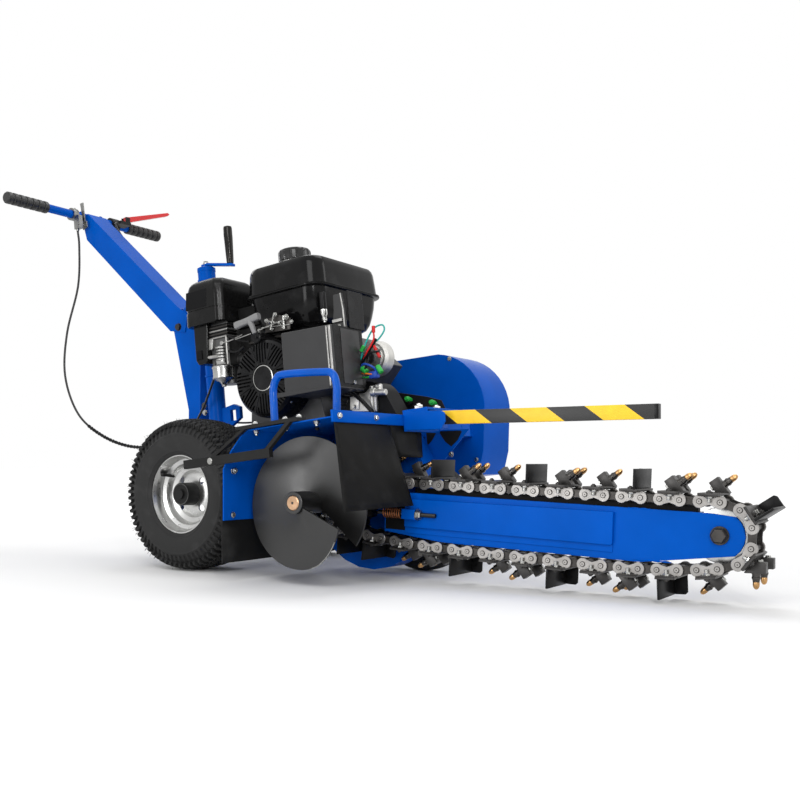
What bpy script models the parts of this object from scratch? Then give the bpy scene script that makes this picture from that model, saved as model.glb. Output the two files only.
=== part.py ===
"""Walk-behind trencher: a two-wheeled frame with an engine, a digging boom and a spoil auger.

The ground is z = 0 and the machine faces +X. The operator stands behind it, at -X.
Pieces of the chassis are drawn in the frame's own axes, whose origin is the axle, and the
frame stands nose up. Pieces of the boom are drawn in the boom's axes, from the head shaft.
"""

import math

import bmesh
import bpy
from mathutils import Matrix, Vector

GAP = 0.0003

# Stance
TYRE_RADIUS = 0.1905
TYRE_WIDTH = 0.152
TYRE_CENTRE_Y = 0.234
RIM_RADIUS = 0.0935
WHEEL_SIDES = 32
NOSE_UP = math.radians(6.0)
AXLE_RADIUS = 0.0125
AXLE_HALF_LENGTH = 0.300
RUNNING_GAP = 0.0003

# Frame rails and engine plate
RAIL_SIZE = 0.040
NEAR_RAIL_Y = -0.010
FAR_RAIL_Y = 0.130
RAIL_TOP = 0.1245
RAIL_REAR_X = -0.240
RAIL_FRONT_X = 0.585
ENGINE_PLATE_THICKNESS = 0.010

# Hood over the auger
HOOD_NEAR_Y = -0.427
HOOD_SHEET = 0.003
HOOD_TOP_Z = 0.1135
HOOD_REAR_X = 0.260
HOOD_REAR_Z = -0.078
FLAP_THICKNESS = 0.004
FLAP_X = 0.5865

# Head shaft, sprockets and digging chain
HEAD_X = 0.4327
HEAD_Z = -0.0540
SHAFT_RADIUS = 0.0165
HEAD_TEETH = 12
CHAIN_PITCH = 0.0381
CHAIN_CENTRE_Y = -0.160
CHAIN_OUTER_WIDTH = 0.060
CHAIN_PLATE = 0.007
TOOTH_HEIGHT = 0.007
PADDLE_REACH = 0.056
PICK_REACH = 0.060
CHAIN_HALF_HEIGHT = 0.011
ROLLER_RADIUS = 0.0079
CHAIN_SAG = 0.018
TIP_PITCH_RADIUS = 0.06165
TIP_U = 0.8453
TIP_V = -0.0144
SPAN_PITCHES = 22

# Boom
BOOM_DROP = math.radians(8.3)
BOOM_REAR_U = 0.098
BOOM_NOSE_U = 0.877
BOOM_TOP_V = 0.0259
BOOM_BOTTOM_V = -0.078
BOOM_WIDTH = 0.040
BOOM_WALL = 0.006
TENSION_ROD_Y = -0.0335
TENSION_ROD_V = -0.0205

# Spoil auger
AUGER_RADIUS = 0.146
AUGER_TUBE_RADIUS = 0.0245
AUGER_END_Y = -0.390
AUGER_PITCH = 0.070
AUGER_SHEET = 0.005

# Drive line
JACKSHAFT_X = 0.445
JACKSHAFT_Z = 0.1705
JACKSHAFT_RADIUS = 0.0125
CASE_NEAR_Y = -0.095
CASE_RADIUS = 0.170
CASE_TOP_RADIUS = 0.058
CASE_WALL = 0.003
LARGE_SPROCKET_RADIUS = 0.126
SMALL_SPROCKET_RADIUS = 0.042
SPROCKET_WIDTH = 0.007
DRIVEN_PULLEY_RADIUS = 0.135
ENGINE_PULLEY_RADIUS = 0.045
PULLEY_Y = 0.300
PULLEY_WIDTH = 0.036
GUARD_NEAR_Y = 0.230
GUARD_FAR_Y = 0.378
GUARD_SHEET = 0.002

# Engine
CRANK_X = 0.199
CRANK_Z = 0.2685
CRANK_RADIUS = 0.0127
ENGINE_NEAR_Y = -0.105
ENGINE_FAR_Y = 0.150
ENGINE_OUTPUT_Y = 0.205
RECOIL_RADIUS = 0.0985
RECOIL_NEAR_Y = -0.183
TANK_LOW = 0.392

# Mast and handle
POST_HALF_WIDTH = 0.032
HINGE_X = -0.2254
HINGE_Z = 0.5058
HINGE_RADIUS = 0.008
ARM_SHEET = 0.003
BAR_X = -0.6083
BAR_Z = 0.909
BAR_RADIUS = 0.0125
GRIP_RADIUS = 0.0175
GRIP_LENGTH = 0.137
NEAR_GRIP_END = -0.298
FAR_GRIP_END = 0.281
LEVER_RISE = 18.0

# Safety bar
SAFETY_BAR_Y = -0.150
SAFETY_BAR_HEIGHT = 0.030
SAFETY_BAR_THICKNESS = 0.014
SAFETY_BAR_REAR_X = 0.625
SAFETY_BAR_TIP_X = 1.158
SAFETY_BAR_Z = 0.369

# Jack and gauge wheel
JACK_X = -0.1135
JACK_Y = -0.022
JACK_TUBE_RADIUS = 0.0245
JACK_LEG_RADIUS = 0.0190
GAUGE_X = 0.500
GAUGE_Y = 0.045
GAUGE_RADIUS = 0.138
GAUGE_WIDTH = 0.045


def clear_scene():
    for thing in list(bpy.data.objects):
        bpy.data.objects.remove(thing, do_unlink=True)


def finish_of(name, colour, roughness, metallic=0.0):
    """One painted, plated or moulded finish, shared by the pieces that have it."""
    made = bpy.data.materials.get(name)
    if made:
        return made
    made = bpy.data.materials.new(name)
    made.use_nodes = True
    shader = made.node_tree.nodes["Principled BSDF"]
    shader.inputs["Base Color"].default_value = (*colour, 1.0)
    shader.inputs["Roughness"].default_value = roughness
    shader.inputs["Metallic"].default_value = metallic
    made.diffuse_color = (*colour, 1.0)
    return made


def blue_paint():
    return finish_of("blue_paint", (0.010, 0.085, 0.42), 0.30)


def black_paint():
    return finish_of("black_paint", (0.015, 0.015, 0.016), 0.42)


def black_rubber():
    return finish_of("black_rubber", (0.020, 0.020, 0.020), 0.75)


def black_plastic():
    return finish_of("black_plastic", (0.012, 0.012, 0.013), 0.35)


def zinc_plate():
    return finish_of("zinc_plate", (0.62, 0.62, 0.60), 0.28, 1.0)


def cast_aluminium():
    return finish_of("cast_aluminium", (0.50, 0.50, 0.49), 0.45, 1.0)


def bare_steel():
    return finish_of("bare_steel", (0.20, 0.19, 0.18), 0.45, 1.0)


def copper_paint():
    return finish_of("spring_steel", (0.45, 0.16, 0.07), 0.35, 0.8)


def red_paint():
    return finish_of("red_paint", (0.55, 0.01, 0.01), 0.30)


def striped_paint():
    return finish_of("hazard_yellow", (0.85, 0.55, 0.02), 0.45)


def block(low, high):
    """A box between two corners."""
    shape = bmesh.new()
    size = Vector(high) - Vector(low)
    middle = (Vector(high) + Vector(low)) / 2
    bmesh.ops.create_cube(shape, size=1.0)
    bmesh.ops.transform(shape, matrix=Matrix.Translation(middle) @ Matrix.Diagonal((*size, 1.0)),
                        verts=shape.verts)
    return shape


def rod(start, end, radius, sides=20):
    """A round bar between two points."""
    shape = bmesh.new()
    along = Vector(end) - Vector(start)
    turn = Vector((0, 0, 1)).rotation_difference(along).to_matrix().to_4x4()
    place = Matrix.Translation((Vector(start) + Vector(end)) / 2)
    bmesh.ops.create_cone(shape, cap_ends=True, segments=sides, radius1=radius, radius2=radius,
                          depth=along.length, matrix=place @ turn)
    return shape


def plate(points, axis, low, high):
    """An outline extruded along an axis. Points are (x, z) across y, (y, z) across x, (x, y) across z."""
    shape = bmesh.new()
    across = {"x": lambda p, q, h: (h, p, q), "y": lambda p, q, h: (p, h, q), "z": lambda p, q, h: (p, q, h)}[axis]
    bottom = [shape.verts.new(across(p, q, low)) for p, q in points]
    top = [shape.verts.new(across(p, q, high)) for p, q in points]
    shape.faces.new(bottom)
    shape.faces.new(top)
    for i in range(len(points)):
        j = (i + 1) % len(points)
        shape.faces.new((bottom[i], bottom[j], top[j], top[i]))
    bmesh.ops.recalc_face_normals(shape, faces=shape.faces)
    return shape


def turned(profile, centre, sides=32, axis="y"):
    """A closed profile of (radius, height) pairs turned about an axis through centre."""
    shape = bmesh.new()
    rings = []
    for i in range(sides):
        angle = 2 * math.pi * i / sides
        ring = []
        for radius, height in profile:
            p, q = radius * math.cos(angle), radius * math.sin(angle)
            offset = (p, height, q) if axis == "y" else (p, q, height)
            ring.append(shape.verts.new(Vector(centre) + Vector(offset)))
        rings.append(ring)
    for i in range(sides):
        here, there = rings[i], rings[(i + 1) % sides]
        for k in range(len(profile)):
            m = (k + 1) % len(profile)
            shape.faces.new((here[k], here[m], there[m], there[k]))
    bmesh.ops.recalc_face_normals(shape, faces=shape.faces)
    return shape


def arc(centre, radius, start, end, steps):
    """Points on an arc, angles in degrees."""
    turn = (end - start) / steps
    return [(centre[0] + radius * math.cos(math.radians(start + turn * i)),
             centre[1] + radius * math.sin(math.radians(start + turn * i))) for i in range(steps + 1)]


def raw_object(name, shape):
    mesh = bpy.data.meshes.new(name)
    shape.to_mesh(mesh)
    shape.free()
    made = bpy.data.objects.new(name, mesh)
    bpy.context.scene.collection.objects.link(made)
    return made


def solid(name, finish, parent, adds, cuts=(), smooth=30, solver="EXACT"):
    """Joins and cuts shapes into one closed body, a named piece of the machine."""
    made = raw_object(name, adds[0])
    tools = [(shape, "UNION") for shape in adds[1:]] + [(shape, "DIFFERENCE") for shape in cuts]
    helpers = []
    for number, (shape, operation) in enumerate(tools):
        helper = raw_object(f"{name}_tool_{number}", shape)
        helper.hide_render = True
        helper.display_type = "WIRE"
        helpers.append(helper)
        modifier = made.modifiers.new(f"{operation.lower()}_{number}", "BOOLEAN")
        modifier.operation = operation
        modifier.solver = solver
        modifier.object = helper
    if helpers:
        bpy.context.view_layer.update()
        graph = bpy.context.evaluated_depsgraph_get()
        joined = bpy.data.meshes.new_from_object(made.evaluated_get(graph))
        made.modifiers.clear()
        made.data = joined
        for helper in helpers:
            bpy.data.objects.remove(helper, do_unlink=True)
    made.data.materials.clear()
    made.data.materials.append(finish)
    made.data.shade_smooth()
    made.data.set_sharp_from_angle(angle=math.radians(smooth))
    made.parent = parent
    return made


def centred_on(made, centre):
    """Moves the piece's origin to its joint's axis without moving the piece."""
    made.data.transform(Matrix.Translation(-Vector(centre)))
    made.location = centre
    return made


def empty(name, parent, location=(0, 0, 0), turn_y=0.0):
    made = bpy.data.objects.new(name, None)
    bpy.context.scene.collection.objects.link(made)
    made.parent = parent
    made.location = location
    made.rotation_euler = (0, turn_y, 0)
    return made


def swept(name, finish, parent, points, radius, resolution=2):
    """A cable or bent rod along a smooth curve through chosen points."""
    curve = bpy.data.curves.new(name, "CURVE")
    curve.dimensions = "3D"
    curve.bevel_depth = radius
    curve.bevel_resolution = resolution
    curve.use_fill_caps = True
    through = smooth_route(points)
    line = curve.splines.new("POLY")
    line.points.add(len(through) - 1)
    for point, place in zip(line.points, through):
        point.co = (*place, 1.0)
    curve.materials.append(finish)
    made = bpy.data.objects.new(name, curve)
    bpy.context.scene.collection.objects.link(made)
    made.parent = parent
    return made


def smooth_route(points, steps=3):
    """Points read from a Catmull-Rom curve through the chosen ones."""
    places = [Vector(p) for p in points]
    padded = [2 * places[0] - places[1]] + places + [2 * places[-1] - places[-2]]
    route = []
    for a, b, c, d in zip(padded, padded[1:], padded[2:], padded[3:]):
        for i in range(steps):
            t = i / steps
            route.append(0.5 * (2 * b + (c - a) * t + (2 * a - 5 * b + 4 * c - d) * t ** 2
                                + (3 * b - 3 * c + d - a) * t ** 3))
    return route + [places[-1]]


def rails_top():
    return RAIL_TOP + GAP


def engine_floor():
    return RAIL_TOP + ENGINE_PLATE_THICKNESS


def build_main_frame(frame):
    """Two rails, two cross tubes, the engine plate, axle brackets and the gauge wheel's fork, welded."""
    half = RAIL_SIZE / 2
    low = RAIL_TOP - RAIL_SIZE
    overlap = 0.002
    cross_low, cross_high = NEAR_RAIL_Y - half, FAR_RAIL_Y + half
    adds = [block((RAIL_REAR_X, cross_low, low), (RAIL_REAR_X + 0.066, cross_high, RAIL_TOP))]
    for y in (NEAR_RAIL_Y, FAR_RAIL_Y):
        adds.append(block((RAIL_REAR_X + 0.01, y - half, low + 0.0005), (RAIL_FRONT_X, y + half, RAIL_TOP - 0.0005)))
        bracket = [(-0.055, low + overlap), (0.055, low + overlap), (0.024, -0.026), (-0.024, -0.026)]
        adds.append(plate(bracket, "y", y - 0.006, y + 0.006))
    adds.append(block((RAIL_FRONT_X - 0.041, cross_low + 0.001, low + 0.001),
                      (RAIL_FRONT_X - 0.001, cross_high - 0.001, RAIL_TOP - 0.001)))
    adds.append(block((0.045, -0.150, RAIL_TOP - 0.001), (0.332, FAR_RAIL_Y + half + 0.002, engine_floor())))
    socket = JACK_TUBE_RADIUS + 0.010
    adds.append(block((RAIL_REAR_X + 0.02, JACK_Y - socket, low + 0.0015), (JACK_X + socket, JACK_Y + socket, RAIL_TOP - 0.0015)))
    fork_x, fork_z = gauge_axis()
    for side in (-1, 1):
        y = GAUGE_Y + side * (GAUGE_WIDTH / 2 + 0.006)
        adds.append(plate([(fork_x - 0.030, low + 0.024), (fork_x + 0.030, low + 0.024),
                           (fork_x + 0.016, fork_z - 0.016), (fork_x - 0.016, fork_z - 0.016)],
                          "y", y - 0.003, y + 0.003))
    adds.append(block((fork_x - 0.045, NEAR_RAIL_Y, low + 0.010), (fork_x + 0.045, FAR_RAIL_Y, low + 0.034)))
    reach = 0.4
    cuts = [rod((0, -reach, 0), (0, reach, 0), AXLE_RADIUS + RUNNING_GAP)]
    cuts.append(rod((fork_x, -0.02, fork_z), (fork_x, 0.12, fork_z), 0.0081))
    cuts.append(rod((JACK_X, JACK_Y, low - 0.01), (JACK_X, JACK_Y, RAIL_TOP + 0.02), JACK_TUBE_RADIUS + GAP, 24))
    solid("main_frame", blue_paint(), frame, adds, cuts)


def gauge_axis():
    """The gauge wheel's centre in the frame's axes, so that it stands on the ground."""
    x, z = GAUGE_X, GAUGE_RADIUS - TYRE_RADIUS
    return (x * math.cos(NOSE_UP) + z * math.sin(NOSE_UP), -x * math.sin(NOSE_UP) + z * math.cos(NOSE_UP))


def build_gauge_wheel(frame):
    x, z = gauge_axis()
    half = GAUGE_WIDTH / 2
    hub_half = half + 0.0025
    profile = [(GAUGE_RADIUS, -half + 0.008), (GAUGE_RADIUS, half - 0.008), (GAUGE_RADIUS - 0.010, half),
               (0.030, half), (0.024, hub_half), (0.0084, hub_half),
               (0.0084, -hub_half), (0.024, -hub_half), (0.030, -half), (GAUGE_RADIUS - 0.010, -half)]
    wheel = solid("gauge_wheel", black_rubber(), frame, [turned(profile, (x, GAUGE_Y, z), 28)])
    centred_on(wheel, (x, GAUGE_Y, z))
    solid("gauge_axle", zinc_plate(), frame,
          [rod((x, GAUGE_Y - half - 0.020, z), (x, GAUGE_Y + half + 0.020, z), 0.0078),
           rod((x, GAUGE_Y - half - 0.020, z), (x, GAUGE_Y - half - 0.0095, z), 0.013, 6)])


def build_hood(frame):
    """One bent sheet: flat over the auger and chain, then down behind them."""
    outer = [(FLAP_X - GAP, HOOD_TOP_Z), (0.344, HOOD_TOP_Z), (0.298, 0.072), (0.272, 0.036),
             (HOOD_REAR_X, HOOD_REAR_Z)]
    inner = [(HOOD_REAR_X + 0.0035, HOOD_REAR_Z), (0.2755, 0.0348), (0.3008, 0.0702), (0.3452, HOOD_TOP_Z - HOOD_SHEET),
             (FLAP_X - GAP, HOOD_TOP_Z - HOOD_SHEET)]
    sheet = plate(outer + inner, "y", HOOD_NEAR_Y, CASE_NEAR_Y - GAP)
    solid("hood", blue_paint(), frame, [sheet])


def build_front_rail(frame):
    x = FLAP_X + FLAP_THICKNESS + GAP
    solid("front_rail", blue_paint(), frame,
          [block((x, -0.441, RAIL_TOP - 0.025), (x + 0.006, 0.020, RAIL_TOP)),
           block((x - 0.030, -0.441, RAIL_TOP - 0.006), (x + 0.003, HOOD_NEAR_Y - 0.001, RAIL_TOP + 0.0004))])


def hung_sheet(edges, thickness, steps=4):
    """A hanging sheet, from the left and right ends of each of its level lines, top first."""
    shape = bmesh.new()
    back, front = [], []
    for left, right in edges:
        for grid, offset in ((back, 0.0), (front, thickness)):
            grid.append([shape.verts.new(Vector(left).lerp(Vector(right), j / steps) + Vector((offset, 0, 0)))
                         for j in range(steps + 1)])
    rows = len(edges) - 1
    for i in range(rows):
        for grid in (back, front):
            for j in range(steps):
                shape.faces.new((grid[i][j], grid[i][j + 1], grid[i + 1][j + 1], grid[i + 1][j]))
        for j in (0, steps):
            shape.faces.new((back[i][j], back[i + 1][j], front[i + 1][j], front[i][j]))
    for i in (0, rows):
        for j in range(steps):
            shape.faces.new((back[i][j], back[i][j + 1], front[i][j + 1], front[i][j]))
    bmesh.ops.recalc_face_normals(shape, faces=shape.faces)
    return shape


def build_flaps(frame):
    top = RAIL_TOP - 0.002
    under_rail = RAIL_TOP - 0.027
    near, inner = HOOD_NEAR_Y + 0.0005, -0.229
    edges = [((FLAP_X, near, top), (FLAP_X, inner, top)), ((FLAP_X, near, under_rail), (FLAP_X, inner, under_rail)),
             ((FLAP_X + 0.001, -0.425, 0.045), (FLAP_X + 0.012, -0.226, 0.045)),
             ((FLAP_X + 0.001, -0.422, -0.020), (FLAP_X + 0.024, -0.220, -0.020)),
             ((FLAP_X + 0.001, -0.418, -0.084), (FLAP_X + 0.036, -0.2145, -0.082))]
    solid("auger_flap", black_rubber(), frame, [hung_sheet(edges, FLAP_THICKNESS)])
    edge = -0.2285
    outline = [(edge, RAIL_TOP - 0.002), (-0.093, RAIL_TOP - 0.002), (-0.093, 0.055), (edge + 0.020, 0.055)]
    solid("boom_flap", black_rubber(), frame, [plate(outline, "x", FLAP_X, FLAP_X + FLAP_THICKNESS)])
    seat_top, seat_low = 0.2678 - GAP, HOOD_REAR_X - GAP
    hem = -0.172
    skirt = [(seat_top - FLAP_THICKNESS, 0.0), (seat_top, 0.0), (seat_low, HOOD_REAR_Z), (seat_low - 0.008, hem),
             (seat_low - 0.008 - FLAP_THICKNESS, hem), (seat_low - FLAP_THICKNESS, HOOD_REAR_Z)]
    solid("rear_skirt", black_rubber(), frame, [plate(skirt, "y", HOOD_NEAR_Y, -0.130)])


def build_axle_and_wheels(frame):
    solid("axle", zinc_plate(), frame,
          [rod((0, -AXLE_HALF_LENGTH, 0), (0, AXLE_HALF_LENGTH, 0), AXLE_RADIUS)])
    for name, side in (("near", -1), ("far", 1)):
        build_wheel(frame, name, side)


def build_wheel(frame, name, side):
    """A rim with its hub, and a tyre on it. The dish faces outwards."""
    centre = (0, side * TYRE_CENTRE_Y, 0)
    half = TYRE_WIDTH / 2
    rim_half = half - 0.016
    bead = RIM_RADIUS - 0.006
    bore = AXLE_RADIUS + RUNNING_GAP
    outward = side
    rim = [(RIM_RADIUS, -rim_half), (RIM_RADIUS, -rim_half + 0.006), (bead, -rim_half + 0.010),
           (bead, rim_half - 0.010), (RIM_RADIUS, rim_half - 0.006), (RIM_RADIUS, rim_half),
           (bead - 0.003, rim_half - 0.003), (bead - 0.004, 0.004 * outward + 0.002),
           (0.030, 0.004 * outward + 0.002), (0.030, 0.004 * outward - 0.002),
           (bead - 0.004, 0.004 * outward - 0.002), (bead - 0.003, -rim_half + 0.003)]
    hub_inner = -0.052 * outward
    hub_outer = 0.060 * outward
    low, high = min(hub_inner, hub_outer), max(hub_inner, hub_outer)
    hub = [(0.031, low), (0.031, high), (bore, high), (bore, low)]
    wheel = solid(f"{name}_rim", cast_aluminium(), frame, [turned(rim, centre, WHEEL_SIDES), turned(hub, centre, WHEEL_SIDES)])
    centred_on(wheel, centre)
    shoulder = 0.022
    seat = bead + GAP
    tyre = [(RIM_RADIUS + GAP, -half + 0.010), (RIM_RADIUS + 0.030, -half), (TYRE_RADIUS - shoulder - 0.006, -half),
            (TYRE_RADIUS - 0.006, -half + shoulder), (TYRE_RADIUS, 0),
            (TYRE_RADIUS - 0.006, half - shoulder), (TYRE_RADIUS - shoulder - 0.006, half), (RIM_RADIUS + 0.030, half),
            (RIM_RADIUS + GAP, half - 0.010), (RIM_RADIUS + GAP, rim_half - 0.006 - GAP),
            (seat, rim_half - 0.010 - GAP), (seat, -rim_half + 0.010 + GAP),
            (RIM_RADIUS + GAP, -rim_half + 0.006 + GAP)]
    rubber = solid(f"{name}_tyre", black_rubber(), frame, [turned(tyre, centre, WHEEL_SIDES)])
    centred_on(rubber, centre)


def build_post(frame):
    """A folded steel mast that widens upwards, on the rear cross tube."""
    base = rails_top()
    outline = [(-0.172, base), (-0.1765, 0.1588), (-0.1387, 0.5168), (-0.200, 0.5430), (-0.2506, 0.4954),
               (-0.2139, 0.2512), (-0.2231, 0.1637), (-0.230, base)]
    inner = POST_HALF_WIDTH - 0.003
    hollow = [(-0.1800, 0.170), (-0.1440, 0.510), (-0.199, 0.537), (-0.2446, 0.4944), (-0.2085, 0.2512), (-0.2170, 0.170)]
    bolt = HINGE_RADIUS + RUNNING_GAP
    reach = POST_HALF_WIDTH + 0.01
    solid("post", blue_paint(), frame, [plate(outline, "y", -POST_HALF_WIDTH, POST_HALF_WIDTH)],
          [plate(hollow, "y", -inner, inner), block((-0.230, -0.012, 0.300), (-0.205, 0.012, 0.420)),
           rod((HINGE_X, -reach, HINGE_Z - 0.014), (HINGE_X, reach, HINGE_Z - 0.014), bolt)])


def build_handle(frame):
    """The folding arm, a channel over the post, with the cross bar welded to its top."""
    outer_half = POST_HALF_WIDTH + GAP + ARM_SHEET
    inner_half = POST_HALF_WIDTH + GAP
    outer = [(-0.1865, 0.5219), (-0.2257, 0.5520), (-0.5761, 0.9100), (-0.6060, 0.9060), (-0.5884, 0.8305),
             (-0.2593, 0.4860), (-0.2016, 0.4732)]
    hollow = [(-0.150, 0.5180), (-0.2245, 0.5475), (-0.5735, 0.9035), (-0.5860, 0.8950), (-0.5700, 0.800),
              (-0.2593, 0.4500), (-0.150, 0.4400)]
    bar = rod((BAR_X, NEAR_GRIP_END + 0.004, BAR_Z), (BAR_X, FAR_GRIP_END - 0.004, BAR_Z), BAR_RADIUS)
    hole_z = HINGE_Z - 0.014
    cuts = [plate(hollow, "y", -inner_half, inner_half),
            rod((HINGE_X, -0.06, hole_z), (HINGE_X, 0.06, hole_z), HINGE_RADIUS + RUNNING_GAP)]
    handle = solid("handle_arm", blue_paint(), frame, [plate(outer, "y", -outer_half, outer_half), bar], cuts)
    centred_on(handle, (HINGE_X, 0, hole_z))
    head = outer_half + GAP
    solid("hinge_bolt", zinc_plate(), frame,
          [rod((HINGE_X, -head - 0.006, hole_z), (HINGE_X, head + 0.006, hole_z), HINGE_RADIUS),
           rod((HINGE_X, -head - 0.007, hole_z), (HINGE_X, -head, hole_z), 0.013, 6),
           rod((HINGE_X, head, hole_z), (HINGE_X, head + 0.007, hole_z), 0.013, 6)])


def build_grips(frame):
    for name, end, inward in (("near_grip", NEAR_GRIP_END, 1), ("far_grip", FAR_GRIP_END, -1)):
        bore = BAR_RADIUS + GAP
        tip = end - inward * 0.004
        shape = rod((BAR_X, tip, BAR_Z), (BAR_X, end + inward * GRIP_LENGTH, BAR_Z), GRIP_RADIUS, 24)
        hole = rod((BAR_X, end + inward * (0.004 - GAP), BAR_Z), (BAR_X, end + inward * 0.3, BAR_Z), bore, 24)
        solid(name, black_rubber(), frame, [shape], [hole])


def ring_on_bar(low, high, outer):
    """A clamp's ring round the handle bar."""
    return turned([(outer, low), (outer, high), (BAR_RADIUS + GAP, high), (BAR_RADIUS + GAP, low)],
                  (BAR_X, 0, BAR_Z), 24)


def build_controls(frame):
    """The throttle lever and the clutch lever, each on a clamp round the bar."""
    solid("throttle_clamp", black_plastic(), frame,
          [ring_on_bar(-0.074, -0.056, 0.019), block((BAR_X + 0.010, -0.072, BAR_Z - 0.050),
                                                     (BAR_X + 0.034, -0.058, BAR_Z - 0.009)),
           rod((BAR_X + 0.030, -0.074, BAR_Z - 0.038), (BAR_X + 0.030, -0.050, BAR_Z - 0.038), 0.0035, 12)])
    pivot = (BAR_X + 0.030, -0.0495, BAR_Z - 0.038)
    lever = solid("throttle_lever", zinc_plate(), frame,
                  [plate([(pivot[0] - 0.012, pivot[2] + 0.010), (pivot[0] + 0.010, pivot[2] + 0.012),
                          (pivot[0] + 0.012, pivot[2] - 0.008), (pivot[0] - 0.008, pivot[2] - 0.012)],
                         "y", -0.0497, -0.0457),
                   plate([(pivot[0] - 0.004, pivot[2]), (pivot[0] + 0.004, pivot[2]),
                          (pivot[0] + 0.000, pivot[2] + 0.072), (pivot[0] - 0.014, pivot[2] + 0.072)],
                         "y", -0.0492, -0.0462)])
    centred_on(lever, pivot)
    solid("clutch_perch", black_plastic(), frame,
          [ring_on_bar(0.075, 0.105, 0.020),
           block((BAR_X + 0.0140, 0.078, BAR_Z - 0.009), (BAR_X + 0.050, 0.121, BAR_Z + 0.001)),
           rod((BAR_X + 0.024, 0.112, BAR_Z + 0.012), (BAR_X + 0.048, 0.112, BAR_Z + 0.012), 0.0030, 12),
           block((BAR_X + 0.0245, 0.104, BAR_Z), (BAR_X + 0.0285, 0.120, BAR_Z + 0.018)),
           block((BAR_X + 0.0435, 0.104, BAR_Z), (BAR_X + 0.0475, 0.120, BAR_Z + 0.018))])
    pivot = (BAR_X + 0.036, 0.112, BAR_Z + 0.012)
    rise = math.tan(math.radians(LEVER_RISE))
    blade = [(0.108, pivot[2] - 0.008), (0.120, pivot[2] - 0.007), (0.290, pivot[2] - 0.005 + 0.170 * rise),
             (0.300, pivot[2] + 0.178 * rise), (0.292, pivot[2] + 0.006 + 0.172 * rise), (0.120, pivot[2] + 0.010),
             (0.108, pivot[2] + 0.008)]
    lever = solid("clutch_lever", red_paint(), frame,
                  [plate(blade, "x", pivot[0] - 0.0068, pivot[0] + 0.0068)],
                  [rod((pivot[0] - 0.1, *pivot[1:]), (pivot[0] + 0.1, *pivot[1:]), 0.0034, 12)])
    centred_on(lever, pivot)


def build_step(frame):
    """The black foot bars outboard of the wheel, bolted over the hood."""
    z = HOOD_TOP_Z + GAP
    y = HOOD_NEAR_Y
    thick = 0.008
    outboard = y - GAP
    adds = [block((0.330, outboard - 0.012, z), (0.500, y + 0.020, z + thick))]
    for x, knee in ((0.345, 0.240), (0.470, 0.400)):
        adds.append(plate([(x, z + 0.001), (x + 0.014, z + 0.001), (knee + 0.014, 0.060), (knee, 0.060)],
                          "y", outboard - 0.0115, outboard - 0.0005))
    adds.append(block((0.165, outboard - 0.012, 0.046), (0.420, outboard, 0.066)))
    solid("foot_step", black_paint(), frame, adds)


def build_grab_bar(frame):
    radius = 0.0085
    y = HOOD_NEAR_Y + 0.032
    z = HOOD_TOP_Z + GAP
    points = [(0.4047, z), (0.4060, 0.160), (0.4085, 0.196), (0.4200, 0.218), (0.4430, 0.2235),
              (0.5420, 0.2130), (0.5700, 0.2050), (0.5785, 0.180), (0.5760, 0.150), (0.5735, z + 0.013)]
    spine = smooth_route([(x, y, height) for x, height in points], 3)
    shape = bmesh.new()
    sides = 12
    rings = []
    for i, place in enumerate(spine):
        ahead = spine[min(i + 1, len(spine) - 1)] - spine[max(i - 1, 0)]
        across = Vector((ahead.z, 0, -ahead.x)).normalized()
        ring = []
        for k in range(sides):
            angle = 2 * math.pi * k / sides
            ring.append(shape.verts.new(place + radius * (math.cos(angle) * across + math.sin(angle) * Vector((0, 1, 0)))))
        rings.append(ring)
    for a, b in zip(rings, rings[1:]):
        for k in range(sides):
            m = (k + 1) % sides
            shape.faces.new((a[k], a[m], b[m], b[k]))
    shape.faces.new(rings[0])
    shape.faces.new(rings[-1])
    bmesh.ops.recalc_face_normals(shape, faces=shape.faces)
    solid("grab_bar", blue_paint(), frame, [shape])


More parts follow.
